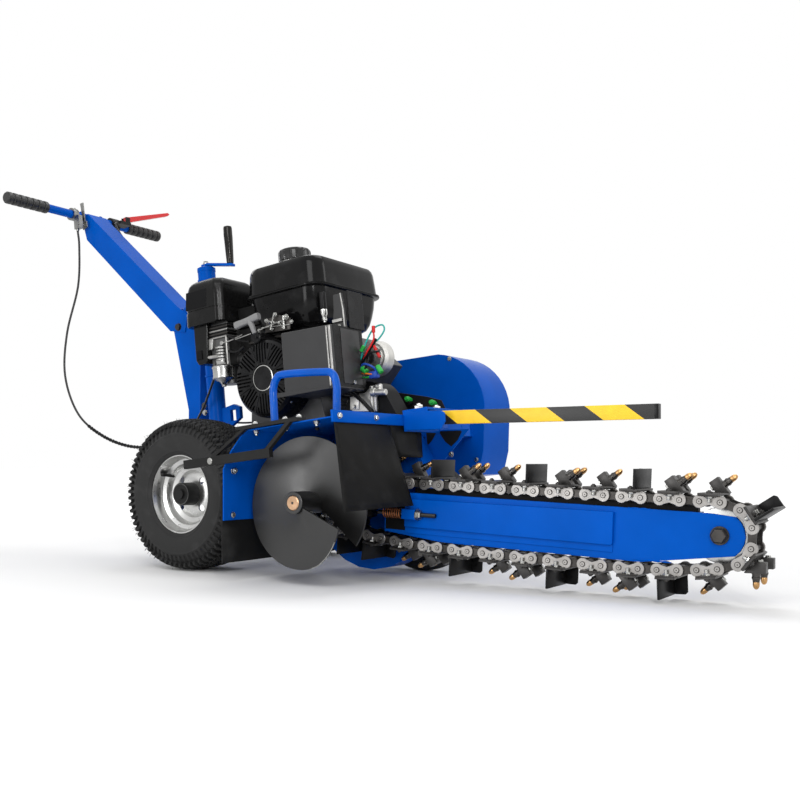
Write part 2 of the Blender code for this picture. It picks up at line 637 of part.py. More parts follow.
def build_engine(frame):
    """A single inclined-cylinder petrol engine, its crank across the machine."""
    base = engine_floor() + GAP
    near, far = ENGINE_NEAR_Y, ENGINE_FAR_Y
    crankcase = [(0.070, base), (0.330, base), (0.322, base + 0.030), (0.300, 0.300), (0.255, 0.365),
                 (0.120, 0.370), (0.095, 0.300), (0.080, base + 0.030)]
    cylinder = [(0.215, 0.250), (0.300, 0.175), (0.415, 0.290), (0.330, 0.375)]
    solid("engine_block", cast_aluminium(), frame,
          [plate(crankcase, "y", near, far), plate(cylinder, "y", near + 0.060, far - 0.020),
           block((0.150, -0.070, 0.360), (0.240, 0.090, TANK_LOW - GAP)),
           rod((CRANK_X, far - 0.010, CRANK_Z), (CRANK_X, ENGINE_OUTPUT_Y, CRANK_Z), 0.055, 24)],
          [rod((CRANK_X, 0.100, CRANK_Z), (CRANK_X, 0.300, CRANK_Z), CRANK_RADIUS + RUNNING_GAP)])
    centre = (CRANK_X, 0, CRANK_Z)
    inside = near - GAP
    cover = [(RECOIL_RADIUS, inside), (RECOIL_RADIUS, RECOIL_NEAR_Y + 0.022), (RECOIL_RADIUS - 0.022, RECOIL_NEAR_Y),
             (0.020, RECOIL_NEAR_Y), (0.020, RECOIL_NEAR_Y + 0.003), (RECOIL_RADIUS - 0.024, RECOIL_NEAR_Y + 0.003),
             (RECOIL_RADIUS - 0.003, RECOIL_NEAR_Y + 0.023), (RECOIL_RADIUS - 0.003, inside)]
    boss = rod((0.186, RECOIL_NEAR_Y + 0.002, 0.372), (0.186, RECOIL_NEAR_Y + 0.040, 0.372), 0.016, 16)
    solid("recoil_cover", black_plastic(), frame, [turned(cover, centre, 28), boss],
          [rod((0.186, RECOIL_NEAR_Y - 0.05, 0.372), (0.186, RECOIL_NEAR_Y + 0.05, 0.372), 0.0027, 12)])
    solid("recoil_handle", black_plastic(), frame,
          [rod((0.130, RECOIL_NEAR_Y - 0.020, 0.420), (0.208, RECOIL_NEAR_Y - 0.020, 0.408), 0.008, 12),
           plate([(0.158, 0.416), (0.196, 0.410), (0.192, 0.372), (0.180, 0.372)], "y",
                 RECOIL_NEAR_Y - 0.026, RECOIL_NEAR_Y - 0.014),
           rod((0.186, RECOIL_NEAR_Y - 0.020, 0.372), (0.186, RECOIL_NEAR_Y + 0.014, 0.372), 0.0022, 8)])


def build_tank(frame):
    """A moulded-edge fuel tank over the crankcase, with its cap on a short neck."""
    low, seam, top = TANK_LOW, 0.483, 0.552
    near, far = -0.150, 0.157
    rear, front = 0.112, 0.360
    adds = [block((rear + 0.010, near + 0.012, low), (front - 0.008, far - 0.012, seam + 0.001)),
            block((rear, near, seam), (front + 0.004, far, seam + 0.008)),
            plate([(rear + 0.008, seam + 0.007), (front - 0.004, seam + 0.007), (front - 0.002, top - 0.020),
                   (front - 0.022, top), (rear + 0.030, top), (rear + 0.010, top - 0.020)],
                  "y", near + 0.006, far - 0.006)]
    neck = (0.195, -0.010)
    adds.append(rod((*neck, top - 0.004), (*neck, top + 0.030), 0.034, 24))
    inside = block((rear + 0.014, near + 0.016, low + 0.004), (front - 0.014, far - 0.016, top - 0.024))
    solid("fuel_tank", black_paint(), frame, adds,
          [inside, rod((*neck, top - 0.040), (*neck, top + 0.050), 0.028, 24)])
    cap_low = top + 0.0005
    cap = turned([(0.0470, cap_low), (0.0470, top + 0.050), (0.0440, top + 0.054), (0.004, top + 0.056),
                  (0.004, top + 0.031), (0.0345, top + 0.031), (0.0345, cap_low)], (*neck, 0), 32, "z")
    made = solid("fuel_cap", black_plastic(), frame, [cap])
    centred_on(made, (*neck, top + 0.030))


def build_engine_trim(frame):
    """Air filter, carburettor, silencer, control box and starter."""
    filter_box = [(-0.076, 0.4435), (0.058, 0.4460), (0.060, 0.5440), (0.046, 0.5600), (-0.040, 0.5640), (-0.060, 0.5520)]
    solid("air_filter", black_plastic(), frame, [plate(filter_box, "y", -0.165, -0.020)])
    solid("carburettor", cast_aluminium(), frame,
          [block((-0.010, -0.135, 0.330), (0.052, -0.060, 0.4444)),
           rod((0.020, -0.100, 0.285), (0.020, -0.100, 0.335), 0.024, 16),
           rod((0.040, -0.090, 0.345), (0.1038, -0.090, 0.345), 0.018, 16)])
    solid("muffler", bare_steel(), frame,
          [block((0.000, 0.030, 0.300), (0.0800, 0.190, 0.4420)),
           rod((0.060, 0.110, 0.330), (0.1003, 0.110, 0.330), 0.014, 12),
           rod((0.030, 0.060, 0.438), (0.030, 0.060, 0.462), 0.014, 12)],
          [block((0.003, 0.033, 0.303), (0.0770, 0.187, 0.4390)),
           rod((0.030, 0.060, 0.420), (0.030, 0.060, 0.480), 0.011, 12)])
    face = -0.228
    solid("control_box", black_plastic(), frame,
          [plate([(0.302, 0.205), (0.456, 0.203), (0.455, 0.352), (0.304, 0.357)], "y", face, face + 0.112),
           block((0.316, face + 0.105, 0.290), (0.400, ENGINE_NEAR_Y + 0.060 - GAP, 0.320))])
    x, z = 0.372, 0.179
    solid("starter_motor", zinc_plate(), frame,
          [rod((x, -0.020, z), (x, 0.120, z), 0.034), rod((x, -0.029, z), (x, -0.018, z), 0.026),
           block((0.3225, 0.030, z - 0.014), (x, 0.070, z + 0.015))])


def build_drive(frame):
    """Engine pulley, belt, driven pulley on the jackshaft, and the reduction to the head shaft."""
    half = PULLEY_WIDTH / 2
    crank_near = ENGINE_OUTPUT_Y - 0.095
    made = solid("engine_pulley", bare_steel(), frame,
                 [rod((CRANK_X, crank_near, CRANK_Z), (CRANK_X, PULLEY_Y + half + 0.006, CRANK_Z), CRANK_RADIUS),
                  pulley(ENGINE_PULLEY_RADIUS, (CRANK_X, PULLEY_Y, CRANK_Z), CRANK_RADIUS - 0.001)])
    centred_on(made, (CRANK_X, 0, CRANK_Z))
    bore = JACKSHAFT_RADIUS + GAP
    made = solid("driven_pulley", black_paint(), frame,
                 [pulley(DRIVEN_PULLEY_RADIUS, (JACKSHAFT_X, PULLEY_Y, JACKSHAFT_Z), bore)])
    centred_on(made, (JACKSHAFT_X, 0, JACKSHAFT_Z))
    pinion = sprocket_disc((JACKSHAFT_X, JACKSHAFT_Z), SMALL_SPROCKET_RADIUS, 12, case_middle(), SPROCKET_WIDTH)
    made = solid("pinion_shaft", zinc_plate(), frame,
                 [rod((JACKSHAFT_X, CASE_NEAR_Y + 0.008, JACKSHAFT_Z), (JACKSHAFT_X, PULLEY_Y + half + 0.010, JACKSHAFT_Z),
                      JACKSHAFT_RADIUS), pinion])
    centred_on(made, (JACKSHAFT_X, 0, JACKSHAFT_Z))
    belt = belt_loop(ENGINE_PULLEY_RADIUS, DRIVEN_PULLEY_RADIUS)
    solid("drive_belt", black_rubber(), frame, [belt])


def pulley(radius, centre, bore):
    """A pulley with two grooves between three flanges."""
    half = PULLEY_WIDTH / 2
    deep = radius - 0.012
    return turned([(radius, -half), (radius, -half + 0.003), (deep, -half + 0.006), (deep, -0.0045), (radius, -0.0015),
                   (radius, 0.0015), (deep, 0.0045), (deep, half - 0.006), (radius, half - 0.003), (radius, half),
                   (bore, half), (bore, -half)], centre, 20)


def tangent_loop(first, small, second, large, steps=14):
    """The outline of a belt round two wheels, as points in the frame's side view."""
    away = Vector(second) - Vector(first)
    lean = math.degrees(math.atan2(away.y, away.x))
    spread = math.degrees(math.acos((small - large) / away.length))
    return (arc(first, small, lean + spread, lean + 360 - spread, steps)
            + arc(second, large, lean - spread, lean + spread, steps))


def belt_loop(small, large):
    """One ribbed belt in the near groove of both pulleys."""
    first, second = (CRANK_X, CRANK_Z), (JACKSHAFT_X, JACKSHAFT_Z)
    bite = 0.010
    outer = tangent_loop(first, small, second, large)
    inner = tangent_loop(first, small - bite, second, large - bite)
    middle = PULLEY_Y - 0.00825
    low, high = middle - 0.0018, middle + 0.0018
    return ring_plate(outer, inner, low, high)


def ring_plate(outer, inner, low, high):
    """A band between two outlines with the same number of points, extruded along y."""
    shape = bmesh.new()
    rows = [[shape.verts.new((x, y, z)) for x, z in line] for y in (low, high) for line in (outer, inner)]
    outer_low, inner_low, outer_high, inner_high = rows
    count = len(outer)
    for i in range(count):
        j = (i + 1) % count
        shape.faces.new((outer_low[i], outer_low[j], outer_high[j], outer_high[i]))
        shape.faces.new((inner_low[i], inner_low[j], inner_high[j], inner_high[i]))
        shape.faces.new((outer_low[i], outer_low[j], inner_low[j], inner_low[i]))
        shape.faces.new((outer_high[i], outer_high[j], inner_high[j], inner_high[i]))
    bmesh.ops.recalc_face_normals(shape, faces=shape.faces)
    return shape


def build_guard(frame):
    """The belt cover: a deep shell open towards the machine, and the plate that closes it."""
    middle, radius = (0.4385, 0.172), 0.153
    rear, top = 0.105, 0.332
    outline = (arc(middle, radius, 0, 80, 10) + [(rear + 0.030, top), (rear, top - 0.030), (rear, 0.215), (0.300, 0.030)]
               + [(0.330, -0.012), (0.553, -0.012), (0.575, 0.050)])
    inner = shrink(outline, GUARD_SHEET)
    near = GUARD_NEAR_Y + GUARD_SHEET + GAP
    solid("belt_guard", blue_paint(), frame, [plate(outline, "y", near, GUARD_FAR_Y)],
          [plate(inner, "y", near - 0.010, GUARD_FAR_Y - GUARD_SHEET)])
    crank_hole = rod((CRANK_X, GUARD_NEAR_Y - 0.05, CRANK_Z), (CRANK_X, GUARD_NEAR_Y + 0.05, CRANK_Z), 0.030)
    shaft_hole = rod((JACKSHAFT_X, GUARD_NEAR_Y - 0.05, JACKSHAFT_Z), (JACKSHAFT_X, GUARD_NEAR_Y + 0.05, JACKSHAFT_Z), 0.022)
    rail_face = FAR_RAIL_Y + RAIL_SIZE / 2 + GAP
    stays = [block((x, rail_face, RAIL_TOP - 0.035), (x + 0.028, GUARD_NEAR_Y + 0.001, RAIL_TOP - 0.005))
             for x in (0.345, 0.520)]
    solid("guard_plate", blue_paint(), frame, [plate(outline, "y", GUARD_NEAR_Y, GUARD_NEAR_Y + GUARD_SHEET)] + stays,
          [crank_hole, shaft_hole])


def shrink(outline, amount):
    """The outline moved inwards, for a wall of even thickness."""
    count = len(outline)
    area = sum(outline[i][0] * outline[(i + 1) % count][1] - outline[(i + 1) % count][0] * outline[i][1]
               for i in range(count))
    inward = 1 if area > 0 else -1
    moved = []
    for i in range(count):
        here = Vector(outline[i])
        before = (here - Vector(outline[i - 1])).normalized()
        after = (Vector(outline[(i + 1) % count]) - here).normalized()
        normal = (Vector((-before.y, before.x)) + Vector((-after.y, after.x))).normalized() * inward
        stretch = 1 / max(0.35, normal.dot(Vector((-after.y, after.x)) * inward))
        moved.append(tuple(here + normal * amount * stretch))
    return moved


def build_bearing(frame):
    """The flanged bearing that carries the jackshaft over the far rail."""
    y = FAR_RAIL_Y
    bore = JACKSHAFT_RADIUS + RUNNING_GAP
    foot = RAIL_TOP + GAP
    solid("shaft_bearing", cast_aluminium(), frame,
          [block((JACKSHAFT_X - 0.050, y - 0.015, foot), (JACKSHAFT_X + 0.050, y + 0.015, foot + 0.014)),
           rod((JACKSHAFT_X, y - 0.017, JACKSHAFT_Z), (JACKSHAFT_X, y + 0.017, JACKSHAFT_Z), 0.037, 24)],
          [rod((JACKSHAFT_X, y - 0.03, JACKSHAFT_Z), (JACKSHAFT_X, y + 0.03, JACKSHAFT_Z), bore)])


def case_outline(grow=0.0):
    return tangent_loop((JACKSHAFT_X, JACKSHAFT_Z), CASE_TOP_RADIUS + grow, (HEAD_X, HEAD_Z), CASE_RADIUS + grow, 16)


def case_far():
    return NEAR_RAIL_Y - RAIL_SIZE / 2 - GAP


def case_middle():
    return (CASE_NEAR_Y + case_far()) / 2


def build_case(frame):
    """The blue reduction case between the chain and the near rail, with the drive inside it."""
    far = case_far()
    inside = (CASE_NEAR_Y + CASE_WALL, far - CASE_WALL)
    head_bore = SHAFT_RADIUS + RUNNING_GAP
    cuts = [plate(case_outline(-CASE_WALL), "y", *inside),
            rod((HEAD_X, CASE_NEAR_Y - 0.02, HEAD_Z), (HEAD_X, far + 0.02, HEAD_Z), head_bore),
            rod((JACKSHAFT_X, inside[1] - 0.01, JACKSHAFT_Z), (JACKSHAFT_X, far + 0.02, JACKSHAFT_Z),
                JACKSHAFT_RADIUS + RUNNING_GAP)]
    saddle = [boom_to_frame(u, v) for u, v in ((BOOM_REAR_U + 0.004, BOOM_TOP_V - 0.006), (BOOM_REAR_U + 0.004, -0.046),
                                               (0.160, -0.046), (0.160, BOOM_TOP_V - 0.006))]
    saddle_near = CHAIN_CENTRE_Y + BOOM_WIDTH / 2 + GAP
    solid("drive_case", blue_paint(), frame,
          [plate(case_outline(), "y", CASE_NEAR_Y, far), plate(saddle, "y", saddle_near, CASE_NEAR_Y + 0.001)], cuts)
    middle = case_middle()
    sprocket = SPROCKET_WIDTH
    made = solid("large_sprocket", bare_steel(), frame,
                 [sprocket_disc((HEAD_X, HEAD_Z), LARGE_SPROCKET_RADIUS, 36, middle, sprocket)],
                 [rod((HEAD_X, -0.2, HEAD_Z), (HEAD_X, 0.1, HEAD_Z), SHAFT_RADIUS + GAP)])
    centred_on(made, (HEAD_X, middle, HEAD_Z))
    first, second = (JACKSHAFT_X, JACKSHAFT_Z), (HEAD_X, HEAD_Z)
    link = 0.009
    outer = tangent_loop(first, SMALL_SPROCKET_RADIUS + link - 0.003, second, LARGE_SPROCKET_RADIUS + link - 0.003)
    inner = tangent_loop(first, SMALL_SPROCKET_RADIUS - link, second, LARGE_SPROCKET_RADIUS - link)
    near_side = middle - sprocket / 2 - 0.0006
    far_side = middle + sprocket / 2 + 0.0006
    chain = [ring_plate(outer, inner, near_side - 0.003, near_side), ring_plate(outer, inner, far_side, far_side + 0.003)]
    for edge, other in ((outer[-1], outer[0]), (outer[14], outer[15])):
        x, z = (edge[0] + other[0]) / 2, (edge[1] + other[1]) / 2
        inward = Vector(((first[0] + second[0]) / 2 - x, 0)).normalized() * (link - 0.002)
        chain.append(rod((x + inward.x, near_side - 0.0025, z), (x + inward.x, far_side + 0.0025, z), 0.004, 8))
    solid("drive_chain", bare_steel(), frame, chain)


def sprocket_disc(centre, radius, teeth, middle, width):
    """A toothed disc with straight-sided teeth."""
    points = []
    step = 360 / teeth
    for tooth in range(teeth):
        at = tooth * step
        for share, depth in ((-0.34, -0.008), (-0.14, 0.0), (0.14, 0.0), (0.34, -0.008)):
            angle = math.radians(at + share * step)
            reach = radius + depth
            points.append((centre[0] + reach * math.cos(angle), centre[1] + reach * math.sin(angle)))
    return plate(points, "y", middle - width / 2, middle + width / 2)


def boom_to_frame(u, v):
    """A point of the boom's side view, in the frame's side view."""
    return (HEAD_X + u * math.cos(BOOM_DROP) + v * math.sin(BOOM_DROP),
            HEAD_Z - u * math.sin(BOOM_DROP) + v * math.cos(BOOM_DROP))


def boom_axes(frame):
    """An empty on the head shaft whose x runs along the boom and whose y is the chain's centre."""
    return empty("boom_line", frame, (HEAD_X, CHAIN_CENTRE_Y, HEAD_Z), BOOM_DROP)


def head_pitch_radius():
    return CHAIN_PITCH / (2 * math.sin(math.pi / HEAD_TEETH))


def chain_pins():
    """The pin centres round the loop, in the boom's side view: head, top run, tip, sagging bottom run."""
    step = 360 / HEAD_TEETH
    radius = head_pitch_radius()
    head = [(radius * math.cos(math.radians(angle)), radius * math.sin(math.radians(angle)))
            for angle in (285 - step * i for i in range(8))]
    tip = arc((TIP_U, TIP_V), TIP_PITCH_RADIUS, 90, -90, 5)
    knee = (0.1622, TIP_V + TIP_PITCH_RADIUS)
    top = spread_along([head[-1], knee, tip[0]], SPAN_PITCHES)
    bottom = []
    for i in range(1, SPAN_PITCHES):
        t = i / SPAN_PITCHES
        u = tip[-1][0] + (head[0][0] - tip[-1][0]) * t
        v = tip[-1][1] + (head[0][1] - tip[-1][1]) * t - CHAIN_SAG * (1 - (2 * t - 1) ** 4)
        bottom.append((u, v))
    return head + top + tip + bottom


def spread_along(corners, count):
    """Points that split a bent line into equal lengths, without its two ends."""
    lengths = [(Vector(b) - Vector(a)).length for a, b in zip(corners, corners[1:])]
    places = []
    for i in range(1, count):
        left = sum(lengths) * i / count
        for a, b, length in zip(corners, corners[1:], lengths):
            if left <= length:
                places.append(tuple(Vector(a).lerp(Vector(b), left / length)))
                break
            left -= length
    return places


def build_digging_chain(boom):
    """The digging chain as one closed loop: side plates, rollers off the sprocket, and cutters."""
    pins = chain_pins()
    outer = shrink(pins, -CHAIN_HALF_HEIGHT)
    inner = shrink(pins, CHAIN_HALF_HEIGHT)
    half = CHAIN_OUTER_WIDTH / 2
    adds = [ring_plate(outer, inner, -half, -half + CHAIN_PLATE), ring_plate(outer, inner, half - CHAIN_PLATE, half)]
    rollers = bmesh.new()
    for u, v in pins:
        piece = rod((u, -half + 0.002, v), (u, half - 0.002, v), ROLLER_RADIUS, 6)
        add_to(rollers, piece)
    cutters = bmesh.new()
    count = len(pins)
    for number in range(0, count, 2):
        add_to(cutters, cutter(pins, number, (number // 2) % 3))
    solid("digging_chain", bare_steel(), boom, adds + [rollers, cutters], solver="MANIFOLD")


def add_to(shape, piece):
    """Copies one shape's faces into another."""
    mesh = bpy.data.meshes.new("scratch")
    piece.to_mesh(mesh)
    piece.free()
    shape.from_mesh(mesh)
    bpy.data.meshes.remove(mesh)


def cutter(pins, number, kind):
    """A cutter on one outer link: a flat paddle, a pair of picks or a single pick."""
    count = len(pins)
    first, second = Vector(pins[number]), Vector(pins[(number + 1) % count])
    along = (first - second).normalized()
    out = Vector((along.y, -along.x)) if inside_is_left(pins, number, along) else Vector((-along.y, along.x))
    middle = (first + second) / 2
    foot = CHAIN_HALF_HEIGHT - 0.002
    reach = PADDLE_REACH if kind == 0 else PICK_REACH
    lean = 0.0 if kind == 0 else 0.010
    length = 0.012 if kind == 0 else 0.015
    corners = [middle + out * foot - along * 0.018, middle + out * foot + along * 0.018,
               middle + out * (foot + 0.006) + along * 0.018,
               middle + out * reach + along * (lean + length / 2), middle + out * reach + along * (lean - length / 2),
               middle + out * (foot + 0.006) - along * 0.016]
    span = 0.044 if kind == 0 else 0.050
    low, high = (-span, span) if kind != 2 else (-span, span * 0.4)
    return plate([tuple(corner) for corner in corners], "y", low, high)


def inside_is_left(pins, number, along):
    """True where the outward side of the loop lies to the right of the direction given."""
    middle = Vector(pins[number])
    axis = Vector((TIP_U / 2, TIP_V))
    right = Vector((along.y, -along.x))
    nearest = Vector((min(max(middle.x, 0.0), TIP_U), axis.y))
    return right.dot(middle - nearest) > 0


def build_head(frame, boom):
    """The head shaft with the digging sprocket and the spoil auger on it."""
    far = NEAR_RAIL_Y - RAIL_SIZE / 2 - 0.006
    made = solid("head_shaft", zinc_plate(), frame,
                 [rod((HEAD_X, AUGER_END_Y - 0.002, HEAD_Z), (HEAD_X, far, HEAD_Z), SHAFT_RADIUS, 24)])
    centred_on(made, (HEAD_X, 0, HEAD_Z))
    radius = head_pitch_radius()
    tip = radius - ROLLER_RADIUS - 0.0006
    root = tip - TOOTH_HEIGHT
    points = []
    step = 360 / HEAD_TEETH
    for tooth in range(HEAD_TEETH):
        at = tooth * step
        for share, reach in ((-7.6, root), (-4.2, tip), (4.2, tip), (7.6, root)):
            angle = math.radians(at + share)
            points.append((reach * math.cos(angle), reach * math.sin(angle)))
    hub_low, hub_high = -0.034, 0.058
    solid("head_sprocket", bare_steel(), boom,
          [plate(points, "y", -0.011, 0.011), rod((0, hub_low, 0), (0, hub_high, 0), 0.030, 24)],
          [rod((0, -0.1, 0), (0, 0.1, 0), SHAFT_RADIUS + GAP, 24)])
    build_auger(frame, CHAIN_CENTRE_Y + hub_low - GAP)


def build_auger(frame, inner_end):
    """One turn of flighting welded on a tube that slips over the head shaft."""
    shape = bmesh.new()
    start, sweep, steps = -30.0, 376.0, 26
    inner = AUGER_TUBE_RADIUS - 0.003
    rows = []
    for i in range(steps + 1):
        angle = math.radians(start - sweep * i / steps)
        y = AUGER_END_Y + 0.003 + AUGER_PITCH * sweep * i / steps / 360
        row = []
        for radius, side in ((inner, 0), (AUGER_RADIUS, 0), (AUGER_RADIUS, AUGER_SHEET), (inner, AUGER_SHEET)):
            row.append(shape.verts.new((HEAD_X + radius * math.cos(angle), y + side, HEAD_Z + radius * math.sin(angle))))
        rows.append(row)
    for a, b in zip(rows, rows[1:]):
        for k in range(4):
            m = (k + 1) % 4
            shape.faces.new((a[k], a[m], b[m], b[k]))
    shape.faces.new(rows[0])
    shape.faces.new(rows[-1])
    bmesh.ops.recalc_face_normals(shape, faces=shape.faces)
    tube = turned([(AUGER_TUBE_RADIUS, AUGER_END_Y), (AUGER_TUBE_RADIUS, inner_end),
                   (SHAFT_RADIUS + GAP, inner_end), (SHAFT_RADIUS + GAP, AUGER_END_Y)], (HEAD_X, 0, HEAD_Z), 32)
    made = solid("auger", black_paint(), frame, [tube, shape])
    centred_on(made, (HEAD_X, AUGER_END_Y, HEAD_Z))


def build_boom(boom):
    """The boom bar, a hollow fabricated beam with a forked nose, and the idler in the fork."""
    half = BOOM_WIDTH / 2
    nose = arc((TIP_U, TIP_V), 0.046, -52, 52, 6)
    outline = [(BOOM_REAR_U, BOOM_TOP_V), (BOOM_REAR_U, BOOM_BOTTOM_V + 0.014), (BOOM_REAR_U + 0.150, BOOM_BOTTOM_V),
               (TIP_U - 0.150, BOOM_BOTTOM_V)] + nose + [(TIP_U - 0.020, BOOM_TOP_V)]
    inner = [(BOOM_REAR_U + 0.160, BOOM_BOTTOM_V + BOOM_WALL), (TIP_U - 0.155, BOOM_BOTTOM_V + BOOM_WALL),
             (TIP_U, -0.040), (BOOM_NOSE_U + 0.05, -0.030), (BOOM_NOSE_U + 0.05, BOOM_TOP_V - BOOM_WALL),
             (BOOM_REAR_U + 0.160, BOOM_TOP_V - BOOM_WALL)]
    cavity = half - BOOM_WALL
    cuts = [plate(inner, "y", -cavity, cavity),
            rod((TIP_U, -cavity, TIP_V), (TIP_U, cavity, TIP_V), 0.0555, 32),
            rod((TIP_U, -0.1, TIP_V), (TIP_U, 0.1, TIP_V), 0.0103)]
    panel = [(0.155, BOOM_TOP_V - 0.014), (0.155, BOOM_BOTTOM_V + 0.014), (0.640, BOOM_BOTTOM_V + 0.014),
             (0.640, BOOM_TOP_V - 0.014)]
    bush_low = TENSION_ROD_Y - 0.011
    adds = [plate(outline, "y", -half, half), plate(panel, "y", -half - 0.0025, -half + 0.001),
            block((0.158, bush_low, TENSION_ROD_V - 0.011), (0.1925, -half + 0.002, TENSION_ROD_V + 0.011))]
    cuts.append(rod((0.09, TENSION_ROD_Y, TENSION_ROD_V), (0.3, TENSION_ROD_Y, TENSION_ROD_V), 0.0054, 12))
    solid("boom_bar", blue_paint(), boom, adds, cuts)
    width = cavity - 0.0010
    idler = solid("tip_idler", bare_steel(), boom,
                  [turned([(0.0530, -width), (0.0530, width), (0.0108, width), (0.0108, -width)],
                          (TIP_U, 0, TIP_V), 28)])
    centred_on(idler, (TIP_U, 0, TIP_V))
    head = half + GAP
    solid("idler_bolt", blue_paint(), boom,
          [rod((TIP_U, -head - 0.002, TIP_V), (TIP_U, head + 0.004, TIP_V), 0.0100),
           rod((TIP_U, -head - 0.010, TIP_V), (TIP_U, -head, TIP_V), 0.0165, 6),
           rod((TIP_U, head, TIP_V), (TIP_U, head + 0.008, TIP_V), 0.0165, 6)])


def build_tension_rod(boom):
    """The chain tensioner: a threaded rod with a spring, held by a blue bush on the boom's near side."""
    y, v = TENSION_ROD_Y, TENSION_ROD_V
    rod_low, rod_high = 0.090, 0.240
    solid("tension_rod", zinc_plate(), boom,
          [rod((rod_low, y, v), (rod_high, y, v), 0.0050, 12), rod((0.193, y, v), (0.204, y, v), 0.0100, 6)])
    coil = []
    turns, steps = 7, 6
    for i in range(turns * steps + 1):
        angle = 2 * math.pi * i / steps
        along = 0.104 + 0.050 * i / (turns * steps)
        coil.append((along, y + 0.0085 * math.cos(angle), v + 0.0085 * math.sin(angle)))
    curve = bpy.data.curves.new("tension_spring", "CURVE")
    curve.dimensions = "3D"
    curve.bevel_depth = 0.0016
    curve.bevel_resolution = 0
    curve.use_fill_caps = True
    line = curve.splines.new("POLY")
    line.points.add(len(coil) - 1)
    for point, place in zip(line.points, coil):
        point.co = (*place, 1.0)
    curve.materials.append(copper_paint())
    spring = bpy.data.objects.new("tension_spring", curve)
    bpy.context.scene.collection.objects.link(spring)
    spring.parent = boom


def build_safety_bar(frame, level):
    """A channel bolted on the front rail, and the striped bar bolted on it."""
    x = FLAP_X + FLAP_THICKNESS + GAP + 0.006 + GAP
    adds = [block((x, -0.180, 0.086), (x + 0.006, -0.012, 0.1337)),
            block((x + 0.001, -0.180, 0.1277), (x + 0.064, -0.012, 0.1337)),
            block((x + 0.002, -0.180, 0.088), (x + 0.064, -0.174, 0.1300))]
    solid("bar_bracket", blue_paint(), frame, adds)
    half = SAFETY_BAR_HEIGHT / 2
    low, high = SAFETY_BAR_Y - SAFETY_BAR_THICKNESS / 2, SAFETY_BAR_Y + SAFETY_BAR_THICKNESS / 2
    middle = SAFETY_BAR_Z - TYRE_RADIUS
    solid("safety_bar", striped_paint(), level,
          [block((SAFETY_BAR_REAR_X, low, middle - half), (SAFETY_BAR_TIP_X, high, middle + half))])


def build_jack(frame):
    """A screw jack on the mast: tube, crank on top and the leg that it winds down."""
    top, bottom = 0.640, 0.090
    centre = (JACK_X, JACK_Y)
    bore = JACK_LEG_RADIUS + RUNNING_GAP
    lug = [(-0.110, 0.180), (-0.070, 0.180), (-0.025, 0.205), (-0.025, 0.236), (-0.045, 0.245), (-0.110, 0.235)]
    reach = 0.006
    solid("jack_tube", blue_paint(), frame,
          [rod((*centre, bottom), (*centre, top), JACK_TUBE_RADIUS, 24),
           plate(lug, "y", JACK_Y - reach, JACK_Y + reach)],
          [rod((*centre, bottom - 0.1), (*centre, top - 0.010), bore, 24),
           rod((*centre, top - 0.1), (*centre, top + 0.1), 0.0073, 12),
           block((-0.060, -0.1, 0.200), (-0.040, 0.1, 0.230))])
    crank_z = top + GAP
    made = solid("jack_crank", blue_paint(), frame,
                 [rod((*centre, top - 0.060), (*centre, crank_z + 0.012), 0.0070, 12),
                  rod((*centre, crank_z), (*centre, crank_z + 0.014), 0.0150, 16),
                  block((JACK_X, JACK_Y - 0.006, crank_z + 0.004), (JACK_X + 0.100, JACK_Y + 0.006, crank_z + 0.012)),
                  rod((JACK_X + 0.091, JACK_Y, crank_z + 0.006), (JACK_X + 0.091, JACK_Y, crank_z + 0.108), 0.0105, 16)])
    centred_on(made, (*centre, crank_z))
    foot = 0.060
    solid("jack_leg", zinc_plate(), frame,
          [rod((*centre, foot), (*centre, top - 0.080), JACK_LEG_RADIUS, 24),
           rod((*centre, foot - 0.006), (*centre, foot + 0.001), 0.0400, 24)])


def build_cables(frame):
    """The throttle cable from its clamp to the carburettor, and the clutch cable down the arm."""
    y = -0.065
    start = (BAR_X + 0.016, y, BAR_Z - 0.0505)
    points = [start, (BAR_X + 0.018, y, 0.800), (BAR_X + 0.012, -0.075, 0.680), (-0.630, -0.100, 0.540),
              (-0.640, -0.110, 0.410), (-0.600, -0.105, 0.290), (-0.520, -0.090, 0.215), (-0.420, -0.070, 0.170),
              (-0.300, -0.060, 0.160), (-0.200, -0.0600, 0.180), (-0.130, -0.066, 0.235), (-0.070, -0.080, 0.300),
              (-0.0160, -0.090, 0.365)]
    swept("throttle_cable", black_rubber(), frame, points, 0.0032)
    start = (BAR_X + 0.040, 0.0777, BAR_Z - 0.006)
    points = [start, (BAR_X + 0.041, 0.0680, BAR_Z - 0.008), (-0.556, 0.056, 0.886), (-0.500, 0.0450, 0.815), (-0.400, 0.0450, 0.700), (-0.300, 0.0450, 0.590),
              (-0.262, 0.0480, 0.500), (-0.250, 0.0480, 0.380), (-0.235, 0.055, 0.270), (-0.160, 0.080, 0.215),
              (-0.060, 0.120, 0.205), (0.020, 0.160, 0.214), (0.085, 0.196, 0.235), (0.120, 0.2160, 0.248),
              (0.123, 0.2292, 0.250)]
    swept("clutch_cable", black_rubber(), frame, points, 0.0028)


def stand_on_origin(root):
    """Puts the middle of the machine's footprint over the origin."""
    bpy.context.view_layer.update()
    graph = bpy.context.evaluated_depsgraph_get()
    low = Vector((math.inf,) * 3)
    high = Vector((-math.inf,) * 3)
    for thing in bpy.data.objects:
        if thing.type == "EMPTY":
            continue
        shown = thing.evaluated_get(graph)
        mesh = shown.to_mesh()
        for vertex in mesh.vertices:
            place = shown.matrix_world @ vertex.co
            low = Vector(map(min, low, place))
            high = Vector(map(max, high, place))
        shown.to_mesh_clear()
    root.location = (-(low.x + high.x) / 2, -(low.y + high.y) / 2, -low.z)


